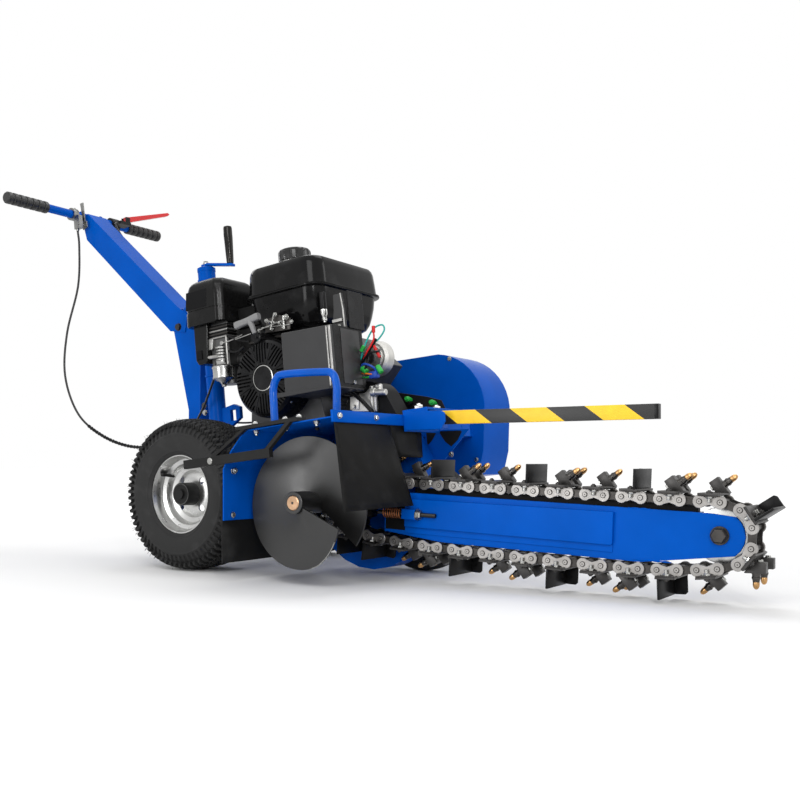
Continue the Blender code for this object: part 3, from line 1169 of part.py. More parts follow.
def main():
    clear_scene()
    root = empty("machine", None)
    frame = empty("frame_axes", root, (0, 0, TYRE_RADIUS), -NOSE_UP)
    level = empty("level_axes", root, (0, 0, TYRE_RADIUS))
    boom = boom_axes(frame)
    build_main_frame(frame)
    build_gauge_wheel(frame)
    build_hood(frame)
    build_front_rail(frame)
    build_flaps(frame)
    build_axle_and_wheels(frame)
    build_post(frame)
    build_handle(frame)
    build_grips(frame)
    build_controls(frame)
    build_step(frame)
    build_grab_bar(frame)
    build_engine(frame)
    build_tank(frame)
    build_engine_trim(frame)
    build_drive(frame)
    build_guard(frame)
    build_bearing(frame)
    build_case(frame)
    build_digging_chain(boom)
    build_head(frame, boom)
    build_boom(boom)
    build_tension_rod(boom)
    build_safety_bar(frame, level)
    build_jack(frame)
    build_cables(frame)
    stand_on_origin(root)


main()
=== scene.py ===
import math
import random

import bmesh
import bpy
from mathutils import Matrix, Vector


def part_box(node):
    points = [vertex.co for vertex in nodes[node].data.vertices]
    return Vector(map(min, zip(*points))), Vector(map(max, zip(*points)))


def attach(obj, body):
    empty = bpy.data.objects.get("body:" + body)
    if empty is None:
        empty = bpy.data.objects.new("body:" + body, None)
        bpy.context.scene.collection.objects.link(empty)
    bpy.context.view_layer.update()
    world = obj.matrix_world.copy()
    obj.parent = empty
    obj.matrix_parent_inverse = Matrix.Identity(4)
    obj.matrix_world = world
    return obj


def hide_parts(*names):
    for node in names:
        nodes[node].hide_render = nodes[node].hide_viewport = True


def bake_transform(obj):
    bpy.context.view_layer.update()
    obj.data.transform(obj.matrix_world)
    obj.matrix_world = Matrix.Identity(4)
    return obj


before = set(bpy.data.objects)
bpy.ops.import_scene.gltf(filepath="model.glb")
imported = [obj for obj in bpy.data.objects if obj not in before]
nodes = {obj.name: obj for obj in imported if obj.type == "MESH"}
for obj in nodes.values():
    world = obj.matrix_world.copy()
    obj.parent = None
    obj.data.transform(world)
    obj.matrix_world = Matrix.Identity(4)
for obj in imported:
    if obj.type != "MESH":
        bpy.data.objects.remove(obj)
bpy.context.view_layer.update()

print("frame loaded:", len(nodes), "pieces")

# the chassis stands nose up on its axle, and the boom drops from the head shaft
stance = {"noseUp": 6.0, "tyreRadius": 0.1905, "wheelY": 0.234, "headX": 0.4327, "headZ": -0.054, "chainY": -0.16,
          "boomDrop": 8.3, "barX": -0.6083, "barZ": 0.909}
toNear, toFar, toFront, toTop, toGround = (0, -1, 0), (0, 1, 0), (1, 0, 0), (0, 0, 1), (0, 0, -1)
axleLow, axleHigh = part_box("axle")
axleAt = (axleLow + axleHigh) / 2
level = Matrix.Translation(axleAt - Vector((0, 0, stance["tyreRadius"])))
chassis = Matrix.Translation(axleAt) @ Matrix.Rotation(-math.radians(stance["noseUp"]), 4, "Y")
boomLine = (chassis @ Matrix.Translation((stance["headX"], stance["chainY"], stance["headZ"]))
            @ Matrix.Rotation(math.radians(stance["boomDrop"]), 4, "Y"))

lens = {"length": 43.2, "sensor": 36.0, "azimuth": 33.0, "rise": 0.0775, "at": (1.7515, -1.9935, 0.2701)}
eye = bpy.data.cameras.new("camera")
eye.lens, eye.sensor_width, eye.shift_y = lens["length"], lens["sensor"], lens["rise"]
camera = bpy.data.objects.new("camera", eye)
camera.location = level @ Vector(lens["at"])
camera.rotation_euler = (math.pi / 2, 0, math.radians(lens["azimuth"]))
bpy.context.scene.collection.objects.link(camera)
bpy.context.scene.camera = camera


class Wire:
    # one output of a graph's nodes, so that shader sums read as sums
    def __init__(self, graph, socket):
        self.graph, self.socket = graph, socket

    def do(self, operation, first, second=0.0):
        return self.graph.node("ShaderNodeMath", {"operation": operation}, {0: first, 1: second})

    def __add__(self, other): return self.do("ADD", self, other)
    def __sub__(self, other): return self.do("SUBTRACT", self, other)
    def __mul__(self, other): return self.do("MULTIPLY", self, other)
    def __truediv__(self, other): return self.do("DIVIDE", self, other)
    def __gt__(self, other): return self.do("GREATER_THAN", self, other)

    def wrapped(self): return self.do("FRACT", self)

    def between(self, low, high):
        share = (self - low) / (high - low)
        return self.do("MINIMUM", self.do("MAXIMUM", share, 0.0), 1.0)


class Graph:
    # the nodes of a finish or of the sky, all made by its node method
    def __init__(self, owner, mainNode):
        owner.use_nodes = True
        self.tree = owner.node_tree
        self.shader = self.tree.nodes[mainNode]

    def feed(self, values, owner=None):
        owner = owner or self.shader
        for key, value in values.items():
            socket = owner.inputs[key if isinstance(key, int) else key.replace("_", " ")]
            if isinstance(value, Wire):
                self.tree.links.new(value.socket, socket)
            elif hasattr(socket.default_value, "__len__") and len(socket.default_value) == 4 and len(value) == 3:
                socket.default_value = (*value, 1.0)
            else:
                socket.default_value = value

    def node(self, kind, settings=None, sockets=None, out=0):
        made = self.tree.nodes.new(kind)
        for key, value in (settings or {}).items():
            setattr(made, key, value)
        self.feed(sockets or {}, made)
        return Wire(self, made.outputs[out])


class Finish(Graph):
    # one procedural material; constants go straight on the shader
    def __init__(self, name, **constants):
        self.material = bpy.data.materials.new(name)
        super().__init__(self.material, "Principled BSDF")
        self.feed(constants)

    def place(self):
        return self.node("ShaderNodeTexCoord", out="Object")

    def parts(self):
        place = self.place()
        return [self.node("ShaderNodeSeparateXYZ", None, {0: place}, axis) for axis in range(3)]

    def noise(self, size, detail):
        return self.node("ShaderNodeTexNoise", None, {"Vector": self.place(), "Scale": 1 / size, "Detail": detail})

    def blend(self, share, low, high):
        return self.node("ShaderNodeMix", {"data_type": "RGBA"}, {0: share, 6: low, 7: high}, 2)

    def bump(self, height, depth):
        settings = {"Height": height, "Distance": depth, "Strength": 1.0}
        self.feed({"Normal": self.node("ShaderNodeBump", None, settings)})


def shaded(colour, factor):
    return tuple(min(1.0, channel * factor) for channel in colour)


def painted(name, colour, roughness, coat=0.0, peel=0.0, peelSize=0.004, specular=0.4, coatRoughness=0.08):
    # enamel: a slow drift of tone, faint dust in the roughness, and orange peel
    made = Finish(name, Coat_Weight=coat, Coat_Roughness=coatRoughness, Specular_IOR_Level=specular)
    drift = made.noise(0.12, 4.0).between(0.3, 0.7)
    dust = made.noise(0.03, 5.0).between(0.2, 0.9)
    made.feed({"Base Color": made.blend(drift, shaded(colour, 0.9), shaded(colour, 1.1)),
               "Roughness": dust * 0.12 + (roughness - 0.06)})
    if peel:
        made.bump(made.noise(peelSize, 2.0), peel)
    return made.material


def moulded(name, colour, roughness, grain=0.0009, depth=0.0001, specular=0.3):
    # plastic and rubber with a fine grain, a little paler where it is scuffed
    made = Finish(name, Specular_IOR_Level=specular)
    scuff = made.noise(0.045, 6.0).between(0.52, 0.8)
    made.feed({"Base Color": made.blend(scuff, colour, tuple(c * 1.5 + 0.006 for c in colour)),
               "Roughness": scuff * 0.12 + roughness})
    made.bump(made.noise(grain, 2.0), depth)
    return made.material


def metal(name, colour, roughness, grain=0.003, depth=0.0, stain=0.25, metallic=1.0):
    # bare, plated or cast metal: stains in the colour and uneven polish
    made = Finish(name, Metallic=metallic)
    cloud = made.noise(0.03, 6.0).between(0.3, 0.75)
    made.feed({"Base Color": made.blend(cloud, shaded(colour, 1 - stain), colour),
               "Roughness": made.noise(grain * 4, 4.0) * 0.25 + (roughness - 0.12)})
    if depth:
        made.bump(made.noise(grain, 3.0), depth)
    return made.material


def hazardStripes(name):
    # slanted black and yellow bands along the bar
    bands = {"period": 0.168, "start": -0.0177, "slant": 1.36, "yellow": (0.9, 0.56, 0.012),
             "black": (0.012, 0.012, 0.012)}
    made = Finish(name, Roughness=0.42)
    along, _, up = made.parts()
    mask = ((along + up * bands["slant"] + bands["start"]) / bands["period"]).wrapped() > 0.5
    worn = made.noise(0.02, 6.0).between(0.35, 0.75)
    made.feed({"Base Color": made.blend(mask, made.blend(worn, shaded(bands["yellow"], 0.9), bands["yellow"]),
                                        bands["black"])})
    made.bump(made.noise(0.003, 2.0), 0.00005)
    return made.material


blue = painted("blueEnamel", (0.0004, 0.078, 0.43), 0.24, peel=0.00004, specular=0.035)
blackEnamel = painted("blackEnamel", (0.011, 0.011, 0.012), 0.22, coat=0.3, peel=0.00003)
satinBlack = painted("satinBlack", (0.012, 0.012, 0.012), 0.38, peel=0.00004, peelSize=0.002, specular=0.14)
darkSheet = painted("darkSheet", (0.009, 0.009, 0.0095), 0.4, peel=0.00003, peelSize=0.0015, specular=0.05)
augerBlack = painted("augerBlack", (0.005, 0.005, 0.005), 0.36, peel=0.00002, specular=0.7)
red = painted("redEnamel", (0.55, 0.008, 0.01), 0.3, coat=0.3)
tyreRubber = moulded("tyreRubber", (0.022, 0.022, 0.022), 0.62, 0.0012, 0.00012, specular=0.16)
flapRubber = moulded("flapRubber", (0.009, 0.009, 0.009), 0.46, 0.0015, 0.0001, specular=0.08)
gripRubber = moulded("gripRubber", (0.01, 0.01, 0.01), 0.36, specular=0.45)
blackPlastic = moulded("blackPlastic", (0.006, 0.006, 0.0065), 0.26, specular=0.14)
filterPlastic = moulded("filterPlastic", (0.005, 0.005, 0.005), 0.2, 0.0012, 0.00004, specular=0.16)
whitePlastic = moulded("whitePlastic", (0.7, 0.7, 0.68), 0.35)
silver = metal("rimSilver", (0.6, 0.6, 0.59), 0.3, stain=0.14)
zinc = metal("zincPlate", (0.52, 0.52, 0.5), 0.26, stain=0.3)
brightZinc = metal("brightZinc", (0.66, 0.66, 0.64), 0.22, stain=0.2)
blueGloss = painted("blueGloss", (0.0004, 0.078, 0.43), 0.16, coat=0.25, specular=0.05, coatRoughness=0.03)
polished = metal("polishedBlack", (0.028, 0.027, 0.026), 0.15, stain=0.05)
clampAlloy = metal("clampAlloy", (0.3, 0.3, 0.29), 0.34, 0.0015, 0.0001, stain=0.4)
paleCast = metal("paleCast", (0.66, 0.65, 0.62), 0.46, 0.0015, 0.0002, stain=0.25)
bowlAlloy = metal("bowlAlloy", (0.44, 0.44, 0.43), 0.24, stain=0.2)
facetHighlight = painted("facetHighlight", (0.05, 0.05, 0.051), 0.3, coat=0.9, specular=0.5, coatRoughness=0.25)
blockBlack = metal("blockBlack", (0.055, 0.055, 0.056), 0.42, 0.0015, 0.0002, stain=0.3, metallic=0.3)
alloy = metal("castAlloy", (0.46, 0.455, 0.44), 0.4, 0.0015, 0.0002, stain=0.45)
darkAlloy = metal("darkAlloy", (0.15, 0.15, 0.15), 0.42, 0.0015, 0.0002, stain=0.5)
plateSteel = metal("plateSteel", (0.4, 0.385, 0.37), 0.4, 0.002, 0.00008, stain=0.3)
darkSteel = metal("darkSteel", (0.085, 0.08, 0.076), 0.4, 0.002, 0.00012, stain=0.5)
blackSteel = metal("blackSteel", (0.07, 0.067, 0.065), 0.4, 0.002, 0.0001, stain=0.5, metallic=0.6)
bronze = metal("bronzeTip", (0.66, 0.38, 0.16), 0.28, stain=0.3)
pickSteel = metal("pickSteel", (0.1, 0.095, 0.09), 0.24, 0.002, 0.00005, stain=0.4)
paddleBlack = painted("paddleBlack", (0.01, 0.01, 0.0105), 0.34, peel=0.00003, specular=0.12)
copperWire = metal("copperWire", (0.42, 0.16, 0.07), 0.34, stain=0.3)
copperFace = metal("copperFace", (0.66, 0.42, 0.26), 0.35, stain=0.35)
stripes = hazardStripes("hazardStripes")
wireGreen = moulded("wireGreen", (0.02, 0.35, 0.05), 0.4)
wireRed = moulded("wireRed", (0.55, 0.01, 0.01), 0.4)
wireTeal = moulded("wireTeal", (0.01, 0.35, 0.3), 0.4)
wireBlue = moulded("wireBlue", (0.01, 0.06, 0.35), 0.4)
greyHandle = moulded("greyHandle", (0.2, 0.2, 0.2), 0.4, 0.0012, 0.0002)
tankBlack = moulded("tankBlack", (0.004, 0.004, 0.0042), 0.13, 0.0016, 0.00001, specular=0.16)
capBlack = moulded("capBlack", (0.006, 0.006, 0.006), 0.14, specular=0.5)
boxGrey = painted("boxGrey", (0.034, 0.034, 0.0345), 0.36, peel=0.00003, peelSize=0.0012, specular=0.25)
wireOrange = moulded("wireOrange", (0.6, 0.14, 0.01), 0.4)
print("finishes made")


def smoothRoute(points, steps=6):
    # points read from a Catmull-Rom curve through the chosen ones
    places = [Vector(p) for p in points]
    padded = [2 * places[0] - places[1]] + places + [2 * places[-1] - places[-2]]
    found = []
    for a, b, c, d in zip(padded, padded[1:], padded[2:], padded[3:]):
        for i in range(steps):
            t = i / steps
            found.append(0.5 * (2 * b + (c - a) * t + (2 * a - 5 * b + 4 * c - d) * t ** 2 + (3 * b - 3 * c + d - a)
                                * t ** 3))
    return found + [places[-1]]


def spoke(degrees):
    return math.cos(math.radians(degrees)), math.sin(math.radians(degrees))


def arcPoints(centre, radius, start, end, steps):
    turns = [spoke(start + (end - start) / steps * i) for i in range(steps + 1)]
    return [(centre[0] + radius * c, centre[1] + radius * s) for c, s in turns]


def roundedOutline(low, high, radius, steps=6):
    # a rectangle in the plane with round corners
    found = []
    for corner, start in (((high[0] - radius, high[1] - radius), 0), ((low[0] + radius, high[1] - radius), 90),
                          ((low[0] + radius, low[1] + radius), 180), ((high[0] - radius, low[1] + radius), 270)):
        found += arcPoints(corner, radius, start, start + 90, steps)
    return found


class Shape:
    # gathers the faces of one piece; finish is the number of its paint
    def __init__(self, place=chassis):
        self.mesh, self.at = bmesh.new(), place

    def grid(self, rows, finish=0, loop=False):
        made = [[self.mesh.verts.new(self.at @ Vector(p)) for p in row] for row in rows]
        pairs = list(zip(made, made[1:])) + ([(made[-1], made[0])] if loop else [])
        count = len(made[0])
        for a, b in pairs:
            for i in range(count):
                j = (i + 1) % count
                self.face((a[i], a[j], b[j], b[i]), finish)
        if not loop:
            self.face(made[0], finish)
            self.face(list(reversed(made[-1])), finish)
        return self

    def face(self, corners, finish=0):
        if len(set(corners)) > 2:
            self.mesh.faces.new(corners).material_index = finish

    def turn(self, profile, at, along=toFar, sides=32, finish=0, loop=False):
        # a profile of (radius, height) pairs turned about an axis
        spin = Vector(toTop).rotation_difference(Vector(along)).to_matrix()
        rows = []
        for radius, height in profile:
            rows.append([Vector(at) + spin @ Vector((radius * math.cos(2 * math.pi * i / sides),
                                                     radius * math.sin(2 * math.pi * i / sides), height))
                         for i in range(sides)])
        return self.grid(rows, finish, loop=loop)

    def rod(self, start, end, radius, sides=24, finish=0, edge=None):
        along = Vector(end) - Vector(start)
        length = along.length
        edge = min(radius, length) * 0.16 if edge is None else edge
        return self.turn([(radius - edge, 0), (radius, edge), (radius, length - edge), (radius - edge, length)],
                         start, along, sides, finish)

    def tube(self, points, radius, sides=12, finish=0, steps=6, swell=None):
        line = smoothRoute(points, steps)
        side = None
        rows = []
        for i, here in enumerate(line):
            ahead = (line[min(i + 1, len(line) - 1)] - line[max(i - 1, 0)]).normalized()
            side = (side or ahead.orthogonal())
            side = (side - ahead * side.dot(ahead)).normalized()
            other = ahead.cross(side)
            size = radius * (swell(i / (len(line) - 1)) if swell else 1.0)
            rows.append([here + size * (math.cos(2 * math.pi * k / sides) * side + math.sin(2 * math.pi * k / sides)
                                        * other) for k in range(sides)])
        return self.grid(rows, finish)

    def join(self, part):
        # adds another mesh as it stands, and lets it go
        scratch = bpy.data.meshes.new("scratch")
        part.to_mesh(scratch)
        part.free()
        self.mesh.from_mesh(scratch)
        bpy.data.meshes.remove(scratch)
        return self

    def take(self, part, finish=0, place=None):
        # places and paints a small mesh that was made on its own
        bmesh.ops.transform(part, matrix=place or self.at, verts=part.verts)
        for face in part.faces:
            face.material_index = finish
        return self.join(part)

    def slab(self, outline, axis, low, high, finish=0, edge=0.0008, segments=2):
        # an outline extruded along an axis, with round edges
        part = bmesh.new()
        across = {"x": lambda p, q, h: (h, p, q), "y": lambda p, q, h: (p, h, q),
                  "z": lambda p, q, h: (p, q, h)}[axis]
        rings = [[part.verts.new(across(p, q, h)) for p, q in outline] for h in (low, high)]
        part.faces.new(rings[0])
        part.faces.new(rings[1])
        for i in range(len(outline)):
            j = (i + 1) % len(outline)
            part.faces.new((rings[0][i], rings[0][j], rings[1][j], rings[1][i]))
        bmesh.ops.recalc_face_normals(part, faces=part.faces)
        if edge:
            sharp = [e for e in part.edges if e.calc_face_angle(0) > 0.5]
            bmesh.ops.bevel(part, geom=sharp, offset=edge, segments=segments, profile=0.5, affect="EDGES",
                            clamp_overlap=True)
        return self.take(part, finish)

    def block(self, low, high, finish=0, edge=0.0008, segments=2):
        outline = [(low[0], low[1]), (high[0], low[1]), (high[0], high[1]), (low[0], high[1])]
        return self.slab(outline, "z", low[2], high[2], finish, edge, segments)

    def bolt(self, at, along, size, finish=0, washer=True, stud=0.0, height=0.65):
        # a hexagon head on its washer, with an optional end of thread
        at, along = Vector(at), Vector(along).normalized()
        base = at
        if washer:
            self.rod(at, at + along * size * 0.16, size * 1.12, 20, finish)
            base = at + along * size * 0.16
        head = size * height
        self.turn([(size * 0.98, 0), (size * 0.98, head * 0.8), (size * 0.84, head)], base, along, 6, finish)
        if stud:
            self.rod(base + along * head * 0.9, base + along * (head + stud), size * 0.5, 16, finish)
        return self

    def made(self, name, paints, body, slotName, replaced=(), smooth=34, even=False):
        bmesh.ops.recalc_face_normals(self.mesh, faces=self.mesh.faces)
        mesh = bpy.data.meshes.new(name)
        self.mesh.to_mesh(mesh)
        self.mesh.free()
        for paint in paints if isinstance(paints, (list, tuple)) else [paints]:
            mesh.materials.append(paint)
        mesh.shade_smooth()
        mesh.set_sharp_from_angle(angle=math.radians(smooth))
        thing = bpy.data.objects.new(name, mesh)
        bpy.context.scene.collection.objects.link(thing)
        if even:  # flat faces stay flat beside their rounded edges
            change = thing.modifiers.new("even", "WEIGHTED_NORMAL")
            change.keep_sharp, change.weight = True, 90
            bpy.context.view_layer.update()
            thing.data = bpy.data.meshes.new_from_object(thing.evaluated_get(bpy.context.evaluated_depsgraph_get()))
            thing.modifiers.clear()
            bpy.data.meshes.remove(mesh)
        if body:
            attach(thing, body)
        if replaced:
            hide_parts(*([replaced] if isinstance(replaced, str) else replaced))
        return thing


def softened(node, paints, slotName, edge, segments=2, extra=None, body="chassis"):
    # the piece's own solid with its edges rounded, and small fittings added to it
    shape = Shape()
    part = bmesh.new()
    part.from_mesh(nodes[node].data)
    bmesh.ops.remove_doubles(part, verts=part.verts, dist=0.00002)
    bmesh.ops.dissolve_limit(part, angle_limit=math.radians(1.5), verts=part.verts, edges=part.edges)
    sharp = [e for e in part.edges if len(e.link_faces) == 2 and e.calc_face_angle(0) > math.radians(33)]
    bmesh.ops.bevel(part, geom=sharp, offset=edge, segments=segments, profile=0.5, affect="EDGES", clamp_overlap=True)
    shape.take(part, 0, Matrix.Identity(4))
    if extra:
        extra(shape)
    first, *words = node.split("_")
    name = first + "".join(word.capitalize() for word in words)
    return shape.made(name, paints, body, slotName, node, even=True)


def cutAway(thing, cutters):
    # takes the cutters' volume out of a finished piece
    mesh = bpy.data.meshes.new("cutter")
    bmesh.ops.recalc_face_normals(cutters.mesh, faces=cutters.mesh.faces)
    cutters.mesh.to_mesh(mesh)
    cutters.mesh.free()
    knife = bpy.data.objects.new("cutter", mesh)
    bpy.context.scene.collection.objects.link(knife)
    change = thing.modifiers.new("cut", "BOOLEAN")
    change.operation, change.solver, change.object = "DIFFERENCE", "EXACT", knife
    bpy.context.view_layer.update()
    done = bpy.data.meshes.new_from_object(thing.evaluated_get(bpy.context.evaluated_depsgraph_get()))
    thing.modifiers.clear()
    thing.data = done
    done.shade_smooth()
    done.set_sharp_from_angle(angle=math.radians(30))
    bpy.data.objects.remove(knife)


# the control cables come first: they cross from the chassis to the tilting handle
def makeCables():
    bar = (stance["barX"], stance["barZ"])
    sleeve = {"first": 44, "last": 64, "radius": 0.0046, "ripple": 0.22, "ripples": 150}
    throttle = [(bar[0] + 0.016, -0.065, bar[1] - 0.0505), (bar[0] + 0.018, -0.065, 0.8),
                (bar[0] + 0.012, -0.075, 0.68), (-0.63, -0.1, 0.54), (-0.64, -0.11, 0.41), (-0.6, -0.105, 0.29),
                (-0.52, -0.09, 0.215), (-0.42, -0.07, 0.17), (-0.3, -0.06, 0.16), (-0.2, -0.06, 0.18),
                (-0.13, -0.066, 0.235), (-0.07, -0.08, 0.3), (-0.016, -0.09, 0.365)]
    clutch = [(bar[0] + 0.04, 0.0777, bar[1] - 0.006), (bar[0] + 0.041, 0.068, bar[1] - 0.008),
              (-0.556, 0.056, 0.886), (-0.5, 0.045, 0.815), (-0.4, 0.045, 0.7), (-0.3, 0.045, 0.59),
              (-0.262, 0.048, 0.5), (-0.25, 0.048, 0.38), (-0.235, 0.055, 0.27), (-0.16, 0.08, 0.215),
              (-0.06, 0.12, 0.205), (0.02, 0.16, 0.214), (0.085, 0.196, 0.235), (0.12, 0.216, 0.248),
              (0.123, 0.2292, 0.25)]
    for kind, radius, points in (("throttle", 0.0032, throttle), ("clutch", 0.0028, clutch)):
        shape = Shape().tube(points, radius, 12, 0, 8)
        if kind == "throttle":
            line = smoothRoute(points, 8)[sleeve["first"]:sleeve["last"]]
            shape.tube([line[0] + (line[1] - line[0]) * 0.01] + line[1:], sleeve["radius"], 12, 1, 3,
                       lambda t: 1.0 + sleeve["ripple"] * math.sin(t * sleeve["ripples"]))
        made = shape.made(kind + "Cable", [gripRubber, blackPlastic], None, "black_rubber", kind + "_cable")
        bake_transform(made)
    print("cables made")


makeCables()


# wheels
def wheelPlace(side):
    return chassis @ Matrix.Translation((0, stance["wheelY"] * side, 0))


def tyreHeight(turn, share, tread):
    # how deep the tread is cut here: 0 on a block, 1 in a groove
    side = 1 if share >= 0 else -1
    reach = abs(share)
    lugs = tread["lugs"]
    if reach > 0.62:  # slanted shoulder bars, each with a short side cut
        phase = (turn * lugs + 0.55 * (reach - 0.62) * side + 0.2 * side) % 1.0
        if phase > 0.58:
            return 1.0
        return 0.55 if 0.7 < reach < 0.78 and phase < 0.3 else 0.0
    if reach > 0.56:
        return 0.95
    if reach > 0.24:  # a row of small blocks cut in S shapes
        bend = 0.34 * math.sin((reach - 0.24) / 0.32 * math.pi * 2)
        phase = (turn * lugs + bend * side + 0.5) % 1.0
        return 0.95 if phase > 0.7 or 0.3 < phase < 0.4 else 0.0
    if reach > 0.18:
        return 0.85
    phase = (turn * lugs + 0.9 * share) % 1.0
    return 0.9 if phase > 0.74 or 0.32 < phase < 0.42 else 0.0


def makeTyre(side, body):
    tyre = {"radius": 0.1893, "bead": 0.0945, "beadHalf": 0.058, "crown": 0.0065, "shoulder": 0.004,
            "treadHalf": 0.0705, "around": 528, "wallRadius": 0.1335, "wallTall": 0.041, "wallHalf": 0.056,
            "wallBulge": 0.0195}
    tread = {"lugs": 66, "depth": 0.0092, "wallDepth": 0.0042, "crown": 44, "whiskers": 150}
    wallMark = 9  # stands for the share of a point that isn't on the tread
    wall = []  # one side's outline from the bead out: (radius, half width)
    for t in range(25):
        turn = math.radians(-62 + t * 124 / 24)
        wall.append((tyre["wallRadius"] + tyre["wallTall"] * math.sin(turn),
                     tyre["wallHalf"] + tyre["wallBulge"] * math.cos(turn)))
    profile = [(tyre["bead"], -tyre["beadHalf"] + 0.006, wallMark),
               (tyre["bead"] + 0.002, -tyre["beadHalf"], wallMark)]
    profile += [(r, -w, wallMark) for r, w in wall]
    for i in range(tread["crown"] + 1):
        share = -1 + 2 * i / tread["crown"]
        profile.append((tyre["radius"] - tyre["crown"] * share ** 2 - tyre["shoulder"] * share ** 8,
                        share * tyre["treadHalf"], share))
    profile += [(r, w, wallMark) for r, w in reversed(wall)]
    profile += [(tyre["bead"] + 0.002, tyre["beadHalf"], wallMark),
                (tyre["bead"], tyre["beadHalf"] - 0.006, wallMark)]
    rows = []
    for k in range(tyre["around"]):
        angle = 2 * math.pi * k / tyre["around"]
        row = []
        for radius, width, share in profile:
            cut = tyreHeight(k / tyre["around"], share, tread) * tread["depth"] if share != wallMark else 0.0
            if share == wallMark and radius > 0.154:  # the shoulder bars run down the wall
                cut = tyreHeight(k / tyre["around"], math.copysign(1.0, width), tread) * tread["wallDepth"]
                row.append((radius * math.cos(angle), width * (1 - cut / 0.075), radius * math.sin(angle)))
                continue
            radius -= cut
            ridge = 0.0014 if share == wallMark and (0.146 < radius < 0.149 or 0.104 < radius < 0.1075) else 0.0
            row.append((radius * math.cos(angle), width + math.copysign(ridge, width), radius * math.sin(angle)))
        rows.append(row)
    centre = wheelPlace(side)
    shape = Shape(centre).grid(rows, 0, loop=True)
    random.seed(4 + side)
    for k in range(tread["whiskers"]):  # moulding whiskers on the shoulder
        angle, edge = random.uniform(0, 2 * math.pi), random.choice((-1, 1))
        reach, width = random.uniform(0.177, 0.1815), edge * random.uniform(0.062, 0.069)
        low = Vector((reach * math.cos(angle), width, reach * math.sin(angle)))
        high = Vector(((reach + 0.0075) * math.cos(angle), width + edge * 0.002, (reach + 0.0075) * math.sin(angle)))
        shape.rod(low, high, 0.0004, 4, 0, 0)
    name = "near" if side < 0 else "far"
    shape.made(name + "Tyre", tyreRubber, body, "tyre_rubber", name + "_tyre", 24)


def makeRim(side, body):
    rim = {"lip": 0.0985, "half": 0.0635, "seat": 0.0895, "well": 0.077, "disc": 0.02, "holes": 4, "holesAt": 0.0475}
    lip, h, seat, well, disc, holes, holesAt = rim.values()
    profile = [(lip - 0.002, h - 0.005), (lip, h - 0.002), (lip - 0.001, h), (lip - 0.004, h),
               (seat + 0.002, h - 0.006), (seat - 0.001, h - 0.012), (seat - 0.002, h - 0.026),
               (well + 0.001, h - 0.03), (well, h - 0.034), (well - 0.001, disc + 0.006), (well - 0.006, disc),
               (0.06, disc - 0.004), (0.052, disc + 0.002), (0.04, disc + 0.004), (0.034, disc + 0.002),
               (0.026, disc + 0.002), (0.026, disc - 0.001), (0.034, disc - 0.001), (0.052, disc - 0.001),
               (0.06, disc - 0.007), (well - 0.004, disc - 0.003), (well + 0.0015, disc),
               (well + 0.0015, -h + 0.034), (seat, -h + 0.026), (seat, -h + 0.012), (lip - 0.003, -h + 0.004),
               (lip - 0.002, -h), (lip, -h + 0.001), (lip - 0.001, -h + 0.004), (seat + 0.0025, -h + 0.013),
               (seat + 0.0025, -h + 0.026), (well + 0.004, -h + 0.034), (well + 0.004, h - 0.034),
               (seat + 0.0025, h - 0.026), (seat + 0.0025, h - 0.012)]
    place = wheelPlace(side)
    shape = Shape(place).turn([(r, y * side) for r, y in profile], (0, 0, 0), toFar, 96, 0, loop=True)
    name = "near" if side < 0 else "far"
    made = shape.made(name + "Rim", [silver, blackEnamel, zinc], body, "cast_aluminium", name + "_rim", 30)
    drills = Shape(place)
    for k in range(holes):
        angle = math.radians(38 + 360 * k / holes)
        at = Vector((holesAt * math.cos(angle), disc * side, holesAt * math.sin(angle)))
        drills.rod(at - Vector((0, 0.02, 0)), at + Vector((0, 0.02, 0)), 0.0085, 28, 0, 0)
    cutAway(made, drills)
    hub = Shape(place)
    hub.turn([(0.0129, -0.052 * side), (0.0275, -0.052 * side), (0.0285, -0.05 * side), (0.0285, 0.058 * side),
              (0.0278, 0.0598 * side), (0.0225, 0.0598 * side), (0.0215, 0.0585 * side), (0.0129, 0.0585 * side)],
             (0, 0, 0), toFar, 48, 0, loop=True)
    hub.rod((-0.058, disc * side, 0.05), (-0.062, (disc + 0.03) * side, 0.054), 0.0042, 16, 0)
    hub.rod((-0.062, (disc + 0.03) * side, 0.054), (-0.0628, (disc + 0.039) * side, 0.0548), 0.0052, 16, 0)
    hub.rod((0, 0.0586 * side, 0), (0, 0.0604 * side, 0), 0.0236, 40, 0)
    hub.turn([(0.0246, 0.059 * side), (0.0262, 0.0592 * side), (0.0262, 0.0606 * side), (0.0246, 0.0606 * side)],
             (0, 0, 0), toFar, 48, 1, loop=True)
    hub.made(name + "Hub", [satinBlack, darkAlloy], body, "cast_aluminium", (), 30)


for wheelSide, wheelBody in ((-1, "near_wheel"), (1, "far_wheel")):
    makeTyre(wheelSide, wheelBody)
    makeRim(wheelSide, wheelBody)


